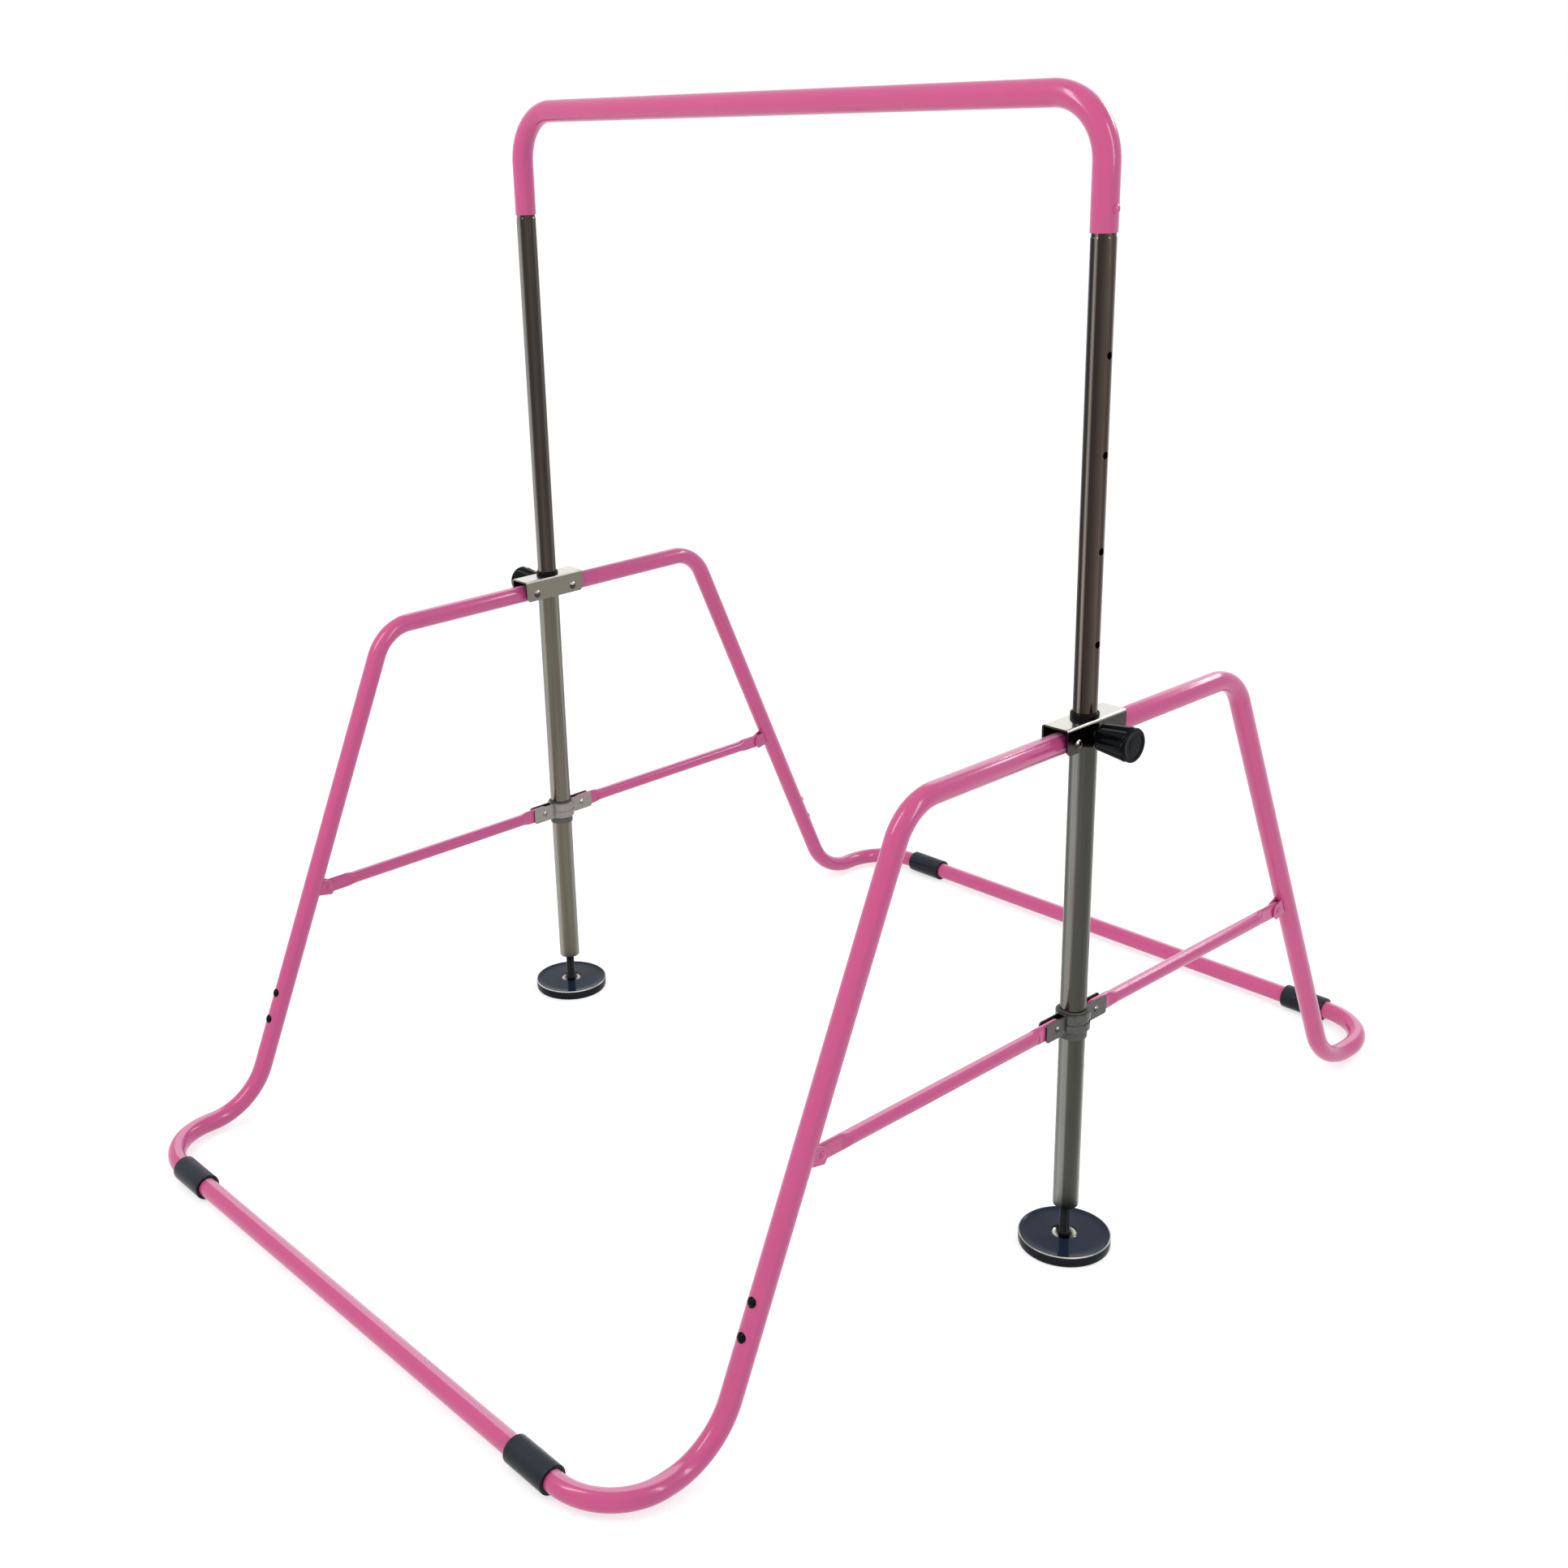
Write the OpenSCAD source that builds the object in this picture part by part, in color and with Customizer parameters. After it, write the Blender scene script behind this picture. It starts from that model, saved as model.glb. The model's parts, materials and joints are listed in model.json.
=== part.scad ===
// Folding kip bar: a height-adjustable gymnastics bar on two posts, held up by a front and a rear
// U-shaped leg frame that fold in under it.
// +X runs along the grip bar to the right-hand post, +Y to the rear frame, +Z up.
// The origin is on the floor, midway between the posts.

/* [Grip bar] */
// distance between the axes of the two posts
post_span = 1080; // [900:10:1300]
// height of the top of the grip bar at its highest setting
bar_top = 1498; // [1300:1:1700]
// outside diameter of the grip bar
bar_d = 32; // [25:0.5:42]
// bend radius of the grip bar's corners, on the tube axis
bar_bend = 75; // [50:1:120]
// height of the lower ends of the grip bar's short legs
bar_leg_end = 1331; // [1200:1:1400]

/* [Posts] */
// outside diameter of the sliding upper posts
upper_d = 30; // [25:0.5:38]
// outside diameter of the fixed lower posts
lower_d = 34; // [28:0.5:42]
// height of the lower posts' open ends above the floor
lower_end = 62; // [40:1:90]
// height of the upper posts' lower ends at the highest setting
upper_end = 590; // [560:1:650]
// height of the locking pins
pin_z = 735; // [700:1:745]
// distance between height holes
hole_pitch = 115; // [60:1:150]
// number of height holes
hole_count = 5; // [3:1:7]

/* [Leg frames] */
// outside diameter of the leg frames' tubes
leg_d = 28; // [22:0.5:35]
// height of the frame hinges and of the horizontal stubs
hinge_z = 733; // [700:1:745]
// distance of each frame hinge from the post axis
hinge_y = 37; // [34:0.5:45]
// distance from the post axis to the corner between stub and leg
leg_top_y = 323; // [250:1:400]
// distance from the post axis to the corner at the foot of the leg
leg_foot_y = 645; // [500:1:750]
// distance from the post axis to the crossbar on the floor
crossbar_y = 810; // [700:1:900]
// bend radius between stub and leg
top_bend = 70; // [45:1:100]
// bend radius at the foot of the leg
foot_bend = 105; // [45:1:110]
// bend radius between foot and crossbar
corner_bend = 88; // [45:1:90]

/* [Sleeves] */
// outside diameter of the sleeves on the crossbars
sleeve_d = 38; // [32:0.5:42]
// length of each sleeve
sleeve_len = 72; // [50:1:80]
// distance of each sleeve's middle from the centre plane
sleeve_x = 412; // [380:1:415]

/* [Braces and collars] */
// outside diameter of the braces
brace_d = 19; // [15:0.5:25]
// height of the braces when the frames are open
brace_z = 341.5; // [300:0.5:380]
// distance of a brace's rivet in the collar from the post axis
collar_pivot = 40; // [36:0.5:48]
// distance of a brace's rivet at the leg from the post axis
tab_pivot = 470; // [440:1:472]
// height of the collar's plates
collar_h = 26; // [20:1:34]

/* [Bracket] */
// length of the channel bracket, front to rear
bracket_len = 116; // [100:1:130]
// height of the top face of the bracket
bracket_top = 756; // [750:1:765]
// height of the lower edges of the bracket
bracket_bottom = 722; // [715:1:726]

/* [Knob and foot pad] */
// largest diameter of the pull knob
knob_d = 46; // [36:1:52]
// distance from the post axis to the knob's outer end
knob_reach = 74; // [68:1:82]
// diameter of the foot pads
pad_d = 123; // [90:1:140]
// thickness of the foot pads
pad_h = 16; // [12:0.5:22]

/* [Hidden] */
$fn = 96;
post_x = post_span / 2;
bar_z = bar_top - bar_d / 2;
bar_wall = 1.5;
post_wall = 1.2;
leg_wall = 1.5;
brace_wall = 1.2;
lower_bore = lower_d - 2 * post_wall;
upper_bore = upper_d - 2 * post_wall;
// radial gap of a tube that slides in a plastic bush
slide_gap = 0.08;
// radial gap of a pin in its hole
pin_gap = 0.1;
eps = 0.01;
// a tube is drawn down this much in its bends, and a straight run laps over a bend by this much
bend_draw = 0.2;
run_lap = 0.8;

// upper post
neck_d = bar_d - 2 * bar_wall - 0.3;
neck_shoulder = bar_leg_end - 4;
neck_top = bar_leg_end + 62;
height_hole_d = 9;
bolt_z = bar_leg_end + 26;
bolt_shank = 6;

// leg frames
floor_z = sleeve_d / 2;
leg_r = leg_d / 2;
leg_tilt = atan((leg_foot_y - leg_top_y) / (hinge_z - floor_z));
bend_angle = 90 - leg_tilt;
top_tangent = top_bend * tan(bend_angle / 2);
foot_tangent = foot_bend * tan(bend_angle / 2);
stub_start = 24;
neck_insert = 44;
crossbar_joint = sleeve_x;
hinge_pin_d = 10;
plug_heights = [149, 188];
plug_d = 13;

// bracket
plate = 2.5;
flange_in = lower_d / 2 + 0.2;
flange_out = flange_in + plate;
rivet_shank = 8;
web_under = bracket_top - plate;

// guide bush on top of the bracket
bush_ring_d = 36;
bush_ring_h = 7;
bush_depth = 12;

// lock pin
lock_pin_d = 8;
// the pin's tip stands this far clear of the upper post
tip_clear = 0.35;
tip_x = upper_d / 2 + tip_clear;
barrel_d = 14;
barrel_len = 24;
chamber_d = 11.6;
chamber_wall = 3;
pin_collar_d = 11;
pin_collar_x = flange_out + 7.8;
pin_collar_len = 3;
knob_start = flange_out + 4.9;
knob_body_end = knob_reach - 3;
knob_bore = lock_pin_d + 0.1;
spring_wire = 1.2;
spring_turns = 4;

// braces
collar_flat = 9;
collar_flat_h = 24;
collar_flat_len = 30;
tab_flat = 7;
tab_flat_h = 23;
tab_flat_len = 34;
squeeze_len = 16;
rivet_d = 6;
tab_cheek = 2.5;
tab_gap = tab_flat / 2 + 0.4;

// collars
collar_bush_d = 38;
skirt = 11;
collar_wall = 2.2;
ear_in = collar_flat / 2 + 0.5;
ear_plate = 2;
ear_reach = 62;

// feet
stud_d = 14;
stud_top = 104;
insert_len = 30;
insert_start = lower_end + 2;
pad_floor = 3;
pocket_d = 24;
ring_d = 34;
ring_h = 2;
ring_sink = 0.8;

pink = [0.80, 0.38, 0.55];
chrome = [0.62, 0.62, 0.60];
dark_chrome = [0.36, 0.34, 0.33];
steel = [0.72, 0.72, 0.72];
black = [0.07, 0.08, 0.10];
navy = [0.14, 0.17, 0.23];

// ---------- placing ----------
// children drawn about the right-hand post's axis, mirrored for the left-hand post
module at_post(side) {
    if (side > 0)
        translate([post_x, 0, 0]) children();
    else
        mirror([1, 0, 0]) translate([post_x, 0, 0]) children();
}

// children drawn for the rear frame, mirrored for the front frame
module at_end(end) {
    if (end > 0)
        children();
    else
        mirror([0, 1, 0]) children();
}

// ---------- shared shapes ----------
module ring_profile(d, bore) {
    difference() {
        circle(d = d);
        circle(d = bore);
    }
}

module tube(d, bore, len) {
    linear_extrude(height = len) ring_profile(d, bore);
}

// a tube along +Z whose wall starts at z0 and ends at z1
module tube_between(d, bore, z0, z1) {
    translate([0, 0, z0]) tube(d, bore, z1 - z0);
}

// a straight run between two bends, lapping over the bends' drawn-down ends
module run(d, bore, len) {
    translate([0, 0, -run_lap]) tube(d, bore, len + 2 * run_lap);
}

// a straight run in the YZ plane from one point to another
module yz_run(from, to, d, bore) {
    dy = to[0] - from[0];
    dz = to[1] - from[1];
    translate([0, from[0], from[1]])
        rotate([atan2(dz, dy) - 90, 0, 0])
            run(d, bore, norm([dy, dz]));
}

// section of a tube where it is bent
module bend_profile(radius, d, bore) {
    translate([radius, 0]) ring_profile(d - bend_draw, bore + bend_draw);
}

// a bend in the YZ plane about a centre, between two angles counted from +Y towards +Z
module yz_bend(centre, radius, from, to, d, bore) {
    translate([0, centre[0], centre[1]])
        rotate([90, 0, 90])
            rotate_extrude(angle = to - from, start = from) bend_profile(radius, d, bore);
}

// a cylinder along +X
module x_rod(d, x0, x1) {
    translate([x0, 0, 0]) rotate([0, 90, 0]) cylinder(d = d, h = x1 - x0);
}

// a low dome on the plane z = 0
module dome(d, h) {
    r = (h * h + d * d / 4) / (2 * h);
    intersection() {
        translate([0, 0, h - r]) sphere(r);
        cylinder(d = d, h = h);
    }
}

// a domed head on a plane facing +X
module x_dome(d, h, x) {
    translate([x, 0, 0]) rotate([0, 90, 0]) dome(d, h);
}

// ---------- upper frame ----------
module grip_bar() {
    bore = bar_d - 2 * bar_wall;
    inside = post_x - bar_bend;
    color(pink) union() {
        translate([-inside, 0, bar_z]) rotate([0, 90, 0]) tube(bar_d, bore, 2 * inside);
        for (side = [-1, 1]) at_post(side) {
            translate([-bar_bend, 0, bar_z - bar_bend])
                rotate([90, 0, 0])
                    rotate_extrude(angle = 90)
                        translate([bar_bend, 0]) ring_profile(bar_d, bore);
            difference() {
                tube_between(bar_d, bore, bar_leg_end, bar_z - bar_bend);
                translate([0, 0, bolt_z]) x_rod(bolt_shank, 0, bar_d);
            }
        }
    }
}

// a domed bolt whose washer face is hollowed to sit on the grip bar's leg
module bar_bolt() {
    washer_d = 11.5;
    washer_top = bar_d / 2 + 0.8;
    difference() {
        union() {
            x_rod(washer_d, bar_d / 2 - 1.5, washer_top);
            x_dome(washer_d - 1.5, 2.4, washer_top);
        }
        cylinder(d = bar_d + 0.1, h = 2 * washer_d, center = true);
    }
    x_rod(bolt_shank - 0.1, bar_d / 2 - 7, bar_d / 2 + 0.5);
}

module bar_bolts() {
    color(pink) for (side = [-1, 1]) at_post(side) translate([0, 0, bolt_z]) bar_bolt();
}

// the tube that carries the height holes, with a necked top inside the grip bar's leg
module upper_post() {
    shoulder = 1.5;
    difference() {
        union() {
            tube_between(upper_d, upper_bore, upper_end, neck_shoulder - shoulder);
            difference() {
                translate([0, 0, neck_shoulder - shoulder])
                    cylinder(d1 = upper_d, d2 = neck_d, h = shoulder);
                translate([0, 0, neck_shoulder - shoulder - 1])
                    cylinder(d = neck_d - 2 * post_wall, h = shoulder + 2);
            }
            tube_between(neck_d, neck_d - 2 * post_wall, neck_shoulder, neck_top);
        }
        for (i = [0 : hole_count - 1])
            translate([0, 0, pin_z + i * hole_pitch]) x_rod(height_hole_d, 0, upper_d);
        translate([0, 0, bolt_z]) x_rod(bolt_shank, 0, upper_d);
    }
}

module upper_post_on(side) {
    color(dark_chrome) at_post(side) upper_post();
}

// a plastic glide pushed into the lower end of the upper post
module glide_bush_on(side) {
    rim = 6;
    rim_d = lower_bore - 2 * slide_gap;
    color(black) at_post(side) union() {
        tube_between(rim_d, 20, upper_end - rim, upper_end);
        tube_between(upper_bore - 0.1, 20, upper_end, upper_end + 22);
    }
}

// ---------- posts and brackets ----------
module lower_post_on(side) {
    color(chrome) at_post(side) difference() {
        tube_between(lower_d, lower_bore, lower_end, web_under);
        translate([0, 0, pin_z]) x_rod(lock_pin_d + 0.6, 0, lower_d);
    }
}

// section of the bracket, open below, with rounded upper corners
module channel_section() {
    outer_r = 4;
    height = bracket_top - bracket_bottom;
    difference() {
        union() {
            translate([-flange_out, 0]) square([2 * flange_out, height - outer_r]);
            translate([-(flange_out - outer_r), 0]) square([2 * (flange_out - outer_r), height]);
            for (s = [-1, 1])
                translate([s * (flange_out - outer_r), height - outer_r]) circle(outer_r);
        }
        translate([-flange_in, -1]) square([2 * flange_in, height - plate + 1]);
    }
}

// cuts the lower corners of the bracket's ends at a slant
module corner_cut(end) {
    at_end(end)
        translate([0, bracket_len / 2, bracket_bottom])
            rotate([45, 0, 0])
                cube([3 * flange_out, 7, 7], center = true);
}

module bracket_on(side) {
    color(steel) at_post(side) difference() {
        translate([0, bracket_len / 2, bracket_bottom])
            rotate([90, 0, 0])
                linear_extrude(height = bracket_len) channel_section();
        translate([0, 0, web_under - 1]) cylinder(d = lower_bore, h = plate + 2);
        for (end = [-1, 1])
            translate([0, end * hinge_y, hinge_z])
                x_rod(rivet_shank + 0.1, -flange_out - 1, flange_out + 1);
        translate([0, 0, pin_z]) x_rod(lock_pin_d + 0.6, flange_in - 1, flange_out + 1);
        for (end = [-1, 1]) corner_cut(end);
    }
}

module guide_bush_on(side) {
    bore = upper_d + 2 * slide_gap;
    edge = 2.5;
    ring = bush_ring_d / 2;
    color(black) at_post(side) union() {
        translate([0, 0, bracket_top])
            rotate_extrude()
                difference() {
                    union() {
                        square([ring, bush_ring_h - edge]);
                        square([ring - edge, bush_ring_h]);
                        translate([ring - edge, bush_ring_h - edge]) circle(edge);
                    }
                    translate([-1, -1]) square([bore / 2 + 1, bush_ring_h + 2]);
                }
        tube_between(lower_bore - 0.1, bore, bracket_top - bush_depth, bracket_top);
    }
}

// the outer ends of the hinge rivets, flush with the flanges' inner faces
module hinge_rivets() {
    color(steel)
        for (side = [-1, 1]) at_post(side)
            for (end = [-1, 1], face = [0, 180])
                translate([0, end * hinge_y, hinge_z])
                    rotate([0, 0, face]) {
                        x_rod(rivet_shank, flange_in, flange_out + eps);
                        x_dome(12.5, 3, flange_out);
                    }
}

// ---------- height lock ----------
module plunger_barrel_on(side) {
    wall_end = flange_out + chamber_wall;
    cap_start = flange_out + barrel_len - chamber_wall;
    color(steel) at_post(side) translate([0, 0, pin_z]) union() {
        rotate([0, 90, 0]) {
            tube_between(barrel_d, lock_pin_d + 0.3, flange_out, wall_end);
            tube_between(barrel_d, chamber_d, wall_end, cap_start);
            tube_between(barrel_d, lock_pin_d + 0.3, cap_start, flange_out + barrel_len);
        }
    }
}

module lock_pin_on(side) {
    tip = 1.2;
    color(steel) at_post(side) translate([0, 0, pin_z]) union() {
        translate([tip_x, 0, 0])
            rotate([0, 90, 0])
                cylinder(d1 = lock_pin_d - 2 * tip, d2 = lock_pin_d, h = tip);
        x_rod(lock_pin_d, tip_x + tip, knob_body_end - 6);
        x_rod(pin_collar_d, pin_collar_x, pin_collar_x + pin_collar_len);
    }
}

// a cone with eight flutes running along it
module knob_body(len) {
    grips = 8;
    flute_r = 9;
    flute_depth = 1.9;
    start_r = knob_d / 2 - 6;
    splay = atan((knob_d / 2 - start_r) / len);
    difference() {
        cylinder(r1 = start_r, r2 = knob_d / 2, h = len);
        for (i = [0 : grips - 1])
            rotate(i * 360 / grips)
                translate([start_r + flute_r - flute_depth, 0, 0])
                    rotate([0, splay, 0])
                        translate([0, 0, -5]) cylinder(r = flute_r, h = len);
    }
}

module lock_knob_on(side) {
    len = knob_body_end - knob_start;
    socket_d = barrel_d + 1.6;
    color(black) at_post(side)
        translate([knob_start, 0, pin_z])
            rotate([0, 90, 0])
                difference() {
                    knob_body(len);
                    translate([0, 0, -1]) cylinder(d = socket_d, h = 28);
                    cylinder(d = knob_bore, h = len - 5.9);
                }
}

module knob_cap_on(side) {
    len = knob_reach - knob_body_end;
    bevel = 1.5;
    recess_d = knob_d - 14;
    color(black) at_post(side)
        translate([knob_body_end, 0, pin_z])
            rotate([0, 90, 0])
                difference() {
                    union() {
                        cylinder(d = knob_d - 3, h = len - bevel);
                        translate([0, 0, len - bevel])
                            cylinder(d1 = knob_d - 3, d2 = knob_d - 3 - 2 * bevel, h = bevel);
                    }
                    translate([0, 0, len - 1]) cylinder(d = recess_d, h = 2);
                }
}

// points of a coil spring's ring at one angle along the wire
function spring_ring(a, r, rise, wire, sides) = [
    for (k = [0 : sides - 1])
        let (b = k * 360 / sides, q = r + wire / 2 * cos(b))
            [q * cos(a), q * sin(a), rise * a / 360 + wire / 2 * sin(b)]
];

module coil(r, len, turns, wire) {
    sides = 6;
    steps = turns * 16;
    rise = (len - wire) / turns;
    points = [
        for (i = [0 : steps]) each spring_ring(i * 360 * turns / steps, r, rise, wire, sides)
    ];
    walls = [
        for (i = [0 : steps - 1], k = [0 : sides - 1])
            let (m = (k + 1) % sides)
                [i * sides + k, (i + 1) * sides + k, (i + 1) * sides + m, i * sides + m]
    ];
    start = [for (k = [0 : sides - 1]) k];
    finish = [for (k = [sides - 1 : -1 : 0]) steps * sides + k];
    translate([0, 0, wire / 2])
        polyhedron(points = points, faces = concat(walls, [start], [finish]));
}

// pushes the pin's collar in towards the post
module pin_spring_on(side) {
    from = pin_collar_x + pin_collar_len + 0.1;
    to = flange_out + barrel_len - chamber_wall - 0.1;
    color(steel) at_post(side)
        translate([from, 0, pin_z])
            rotate([0, 90, 0])
                coil(lock_pin_d / 2 + 1, to - from, spring_turns, spring_wire);
}

// ---------- leg frames ----------
// distance from the post axis to the leg's axis at a height
function leg_y(z) = leg_foot_y - (z - floor_z) * tan(leg_tilt);

// the straight bore of a hinge pin through the stub
module stub_hole() {
    translate([0, hinge_y, hinge_z]) x_rod(hinge_pin_d + 0.1, -leg_d, leg_d);
}

// a rod across the leg's outer wall, square to the leg, at a height
module plug_rod(z, d, from, to) {
    translate([0, leg_y(z), z])
        rotate([leg_tilt, 0, 0])
            translate([0, from, 0])
                rotate([-90, 0, 0]) cylinder(d = d, h = to - from);
}

// stub, leg, foot and corner as one bent tube, drawn for the rear right-hand corner
module leg() {
    bore = leg_d - 2 * leg_wall;
    lean = [sin(leg_tilt), -cos(leg_tilt)];
    leg_start = [leg_top_y, hinge_z] + top_tangent * lean;
    leg_end = [leg_foot_y, floor_z] - foot_tangent * lean;
    foot_y = leg_foot_y + foot_tangent;
    union() {
        difference() {
            yz_run([stub_start, hinge_z], [leg_top_y - top_tangent, hinge_z], leg_d, bore);
            stub_hole();
        }
        yz_bend([leg_top_y - top_tangent, hinge_z - top_bend], top_bend, leg_tilt, 90,
                leg_d, bore);
        difference() {
            yz_run(leg_start, leg_end, leg_d, bore);
            for (z = plug_heights) plug_rod(z, plug_d - 3, 0, leg_d);
        }
        yz_bend([foot_y, floor_z + foot_bend], foot_bend, 270 - bend_angle, 270,
                leg_d, bore);
        yz_run([foot_y, floor_z], [crossbar_y - corner_bend, floor_z], leg_d, bore);
        translate([-corner_bend, crossbar_y - corner_bend, floor_z])
            rotate_extrude(angle = 90) bend_profile(corner_bend, leg_d, bore);
        translate([crossbar_joint + 1 - post_x, crossbar_y, floor_z])
            rotate([0, 90, 0])
                run(leg_d, bore, post_x - corner_bend - crossbar_joint - 1);
    }
}

module leg_on(end, side) {
    color(pink) at_end(end) at_post(side) leg();
}

// the crossbar, necked at both ends to go into the legs' tubes
module crossbar_on(end) {
    bore = leg_d - 2 * leg_wall;
    neck = bore - 0.2;
    body = crossbar_joint - 1;
    color(pink) at_end(end) translate([0, crossbar_y, floor_z]) rotate([0, 90, 0]) union() {
        tube_between(leg_d, neck - 2 * leg_wall, -body, body);
        tube_between(neck, neck - 2 * leg_wall, body, body + neck_insert);
        tube_between(neck, neck - 2 * leg_wall, -body - neck_insert, -body);
    }
}

module sleeve() {
    edge = 1.5;
    outer = sleeve_d / 2;
    inner = leg_d / 2 + 0.1;
    rotate_extrude() difference() {
        union() {
            translate([0, edge]) square([outer, sleeve_len - 2 * edge]);
            square([outer - edge, sleeve_len]);
            for (y = [edge, sleeve_len - edge]) translate([outer - edge, y]) circle(edge);
        }
        translate([-1, -1]) square([inner + 1, sleeve_len + 2]);
    }
}

module sleeves_on(end) {
    color(navy) at_end(end)
        for (side = [-1, 1])
            translate([side * sleeve_x - sleeve_len / 2, crossbar_y, floor_z])
                rotate([0, 90, 0]) sleeve();
}

// outline of a cheek that holds the brace's end, in the YZ plane
module tab_outline() {
    low = brace_z - 5;
    high = brace_z + 19;
    hull() {
        translate([tab_pivot, brace_z]) circle(r = 10.5, $fn = 48);
        translate([tab_pivot - 3, brace_z - 12]) circle(r = 1, $fn = 24);
        translate([leg_y(low), low]) circle(r = 1, $fn = 24);
        translate([leg_y(high), high]) circle(r = 1, $fn = 24);
    }
}

module tab() {
    difference() {
        for (x = [tab_gap, -tab_gap - tab_cheek])
            translate([x, 0, 0])
                rotate([90, 0, 90])
                    linear_extrude(height = tab_cheek) tab_outline();
        translate([0, leg_y(brace_z), brace_z])
            rotate([leg_tilt, 0, 0])
                cylinder(d = leg_d + 0.04, h = 120, center = true);
        translate([0, tab_pivot, brace_z]) x_rod(rivet_d + 0.1, -10, 10);
    }
}

module tabs_on(end) {
    color(pink) at_end(end) for (side = [-1, 1]) at_post(side) tab();
}

module rivet(half, head_d, head_h) {
    x_rod(rivet_d, -half, half);
    x_dome(head_d, head_h, half);
    mirror([1, 0, 0]) x_dome(head_d, head_h, half);
}

module tab_rivets_on(end) {
    color(pink) at_end(end)
        for (side = [-1, 1]) at_post(side)
            translate([0, tab_pivot, brace_z]) rivet(tab_gap + tab_cheek, 11, 2.8);
}

// a domed plug pushed into the leg's outer wall, its rim hollowed to sit on the round tube
module leg_plug() {
    stem = plug_d - 3.1;
    rim_h = 1.2;
    difference() {
        translate([0, leg_r - 0.9, 0])
            rotate([-90, 0, 0]) {
                cylinder(d = plug_d, h = rim_h);
                translate([0, 0, rim_h]) dome(plug_d - 1, 2.6);
            }
        cylinder(r = leg_r + 0.05, h = 2 * plug_d, center = true);
    }
    translate([0, leg_r - 4, 0]) rotate([-90, 0, 0]) cylinder(d = stem, h = 4.4);
}

module leg_plugs_on(end) {
    color(black) at_end(end)
        for (side = [-1, 1]) at_post(side)
            for (z = plug_heights)
                translate([0, leg_y(z), z]) rotate([leg_tilt, 0, 0]) leg_plug();
}

// the middles of the hinge rivets, carried in the stubs
module hinge_pins_on(end) {
    half = flange_in - 0.3;
    color(steel) at_end(end)
        for (side = [-1, 1]) at_post(side)
            translate([0, hinge_y, hinge_z]) x_rod(hinge_pin_d, -half, half);
}

// ---------- braces ----------
// a slot-shaped outline, wide along X, tall along Z
module flat_section(thick, tall) {
    hull() for (s = [-1, 1])
        translate([0, s * (tall - thick) / 2]) circle(d = thick, $fn = 32);
}

// the squeezed end of a brace about its rivet, reaching a length along +Y
module brace_end(thick, tall, len) {
    difference() {
        union() {
            translate([-thick / 2, 0, 0])
                rotate([0, 90, 0]) cylinder(d = tall, h = thick);
            translate([-thick / 2, 0, -tall / 2]) cube([thick, len, tall]);
        }
        x_rod(rivet_d + 2 * pin_gap, -thick, thick);
    }
}

// a length over which the tube is squeezed from round to flat
module squeeze(thick, tall) {
    hull() {
        rotate([-90, 0, 0]) linear_extrude(height = 0.2) flat_section(thick, tall);
        translate([0, squeeze_len - 0.2, 0])
            rotate([-90, 0, 0])
                linear_extrude(height = 0.2) circle(d = brace_d, $fn = 32);
    }
}

module brace() {
    tube_from = collar_pivot + collar_flat_len + squeeze_len;
    tube_to = tab_pivot - tab_flat_len - squeeze_len;
    translate([0, 0, brace_z]) union() {
        translate([0, collar_pivot, 0]) brace_end(collar_flat, collar_flat_h, collar_flat_len);
        translate([0, collar_pivot + collar_flat_len, 0]) squeeze(collar_flat, collar_flat_h);
        difference() {
            translate([0, tube_from, 0])
                rotate([-90, 0, 0]) tube(brace_d, brace_d - 2 * brace_wall, tube_to - tube_from);
            for (y = [tube_from + 12, tube_to - 12])
                translate([0, y, -brace_d]) cylinder(d = 4, h = brace_d);
        }
        translate([0, tab_pivot, 0]) mirror([0, 1, 0]) {
            brace_end(tab_flat, tab_flat_h, tab_flat_len);
            translate([0, tab_flat_len, 0]) squeeze(tab_flat, tab_flat_h);
        }
    }
}

module brace_on(end, side) {
    color(pink) at_end(end) at_post(side) brace();
}

// ---------- collars ----------
module collar_bush_on(side) {
    bore = lower_d + 2 * slide_gap;
    bottom = brace_z - collar_h / 2 - skirt;
    top = brace_z + collar_h / 2 + 2;
    color(black) at_post(side) tube_between(collar_bush_d, bore, bottom, top);
}

// an ear plate with rounded outer corners, reaching along +Y
module ear() {
    r = 4;
    start = collar_bush_d / 2 - 2;
    half = collar_h / 2;
    difference() {
        translate([ear_in, 0, brace_z])
            rotate([90, 0, 90])
                linear_extrude(height = ear_plate)
                    union() {
                        translate([start, -half]) square([ear_reach - r - start, 2 * half]);
                        translate([start, -half + r])
                            square([ear_reach - start, 2 * (half - r)]);
                        for (s = [-1, 1])
                            translate([ear_reach - r, s * (half - r)]) circle(r);
                    }
        translate([0, collar_pivot, brace_z]) x_rod(rivet_d + 0.1, 0, 20);
    }
}

// half of the band round the post, pressed with two ribs, and its two ears
module collar_half() {
    inner = collar_bush_d / 2;
    band = inner + collar_wall;
    half = collar_h / 2;
    rib = 1.2;
    difference() {
        union() {
            translate([0, 0, brace_z - half]) cylinder(r = band, h = collar_h);
            for (z = [brace_z - half + 1, brace_z + 2])
                translate([0, 0, z]) cylinder(r = band + rib, h = half - 3);
            for (end = [-1, 1]) at_end(end) ear();
        }
        translate([0, 0, brace_z - half - 1]) cylinder(r = inner, h = collar_h + 2);
        translate([-2 * band, -2 * band, brace_z - half - 1])
            cube([2 * band + 0.3, 4 * band, collar_h + 2]);
    }
}

module collar_outer_on(side) {
    color(chrome) at_post(side) collar_half();
}

module collar_inner_on(side) {
    color(chrome) at_post(side) mirror([1, 0, 0]) collar_half();
}

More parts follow.
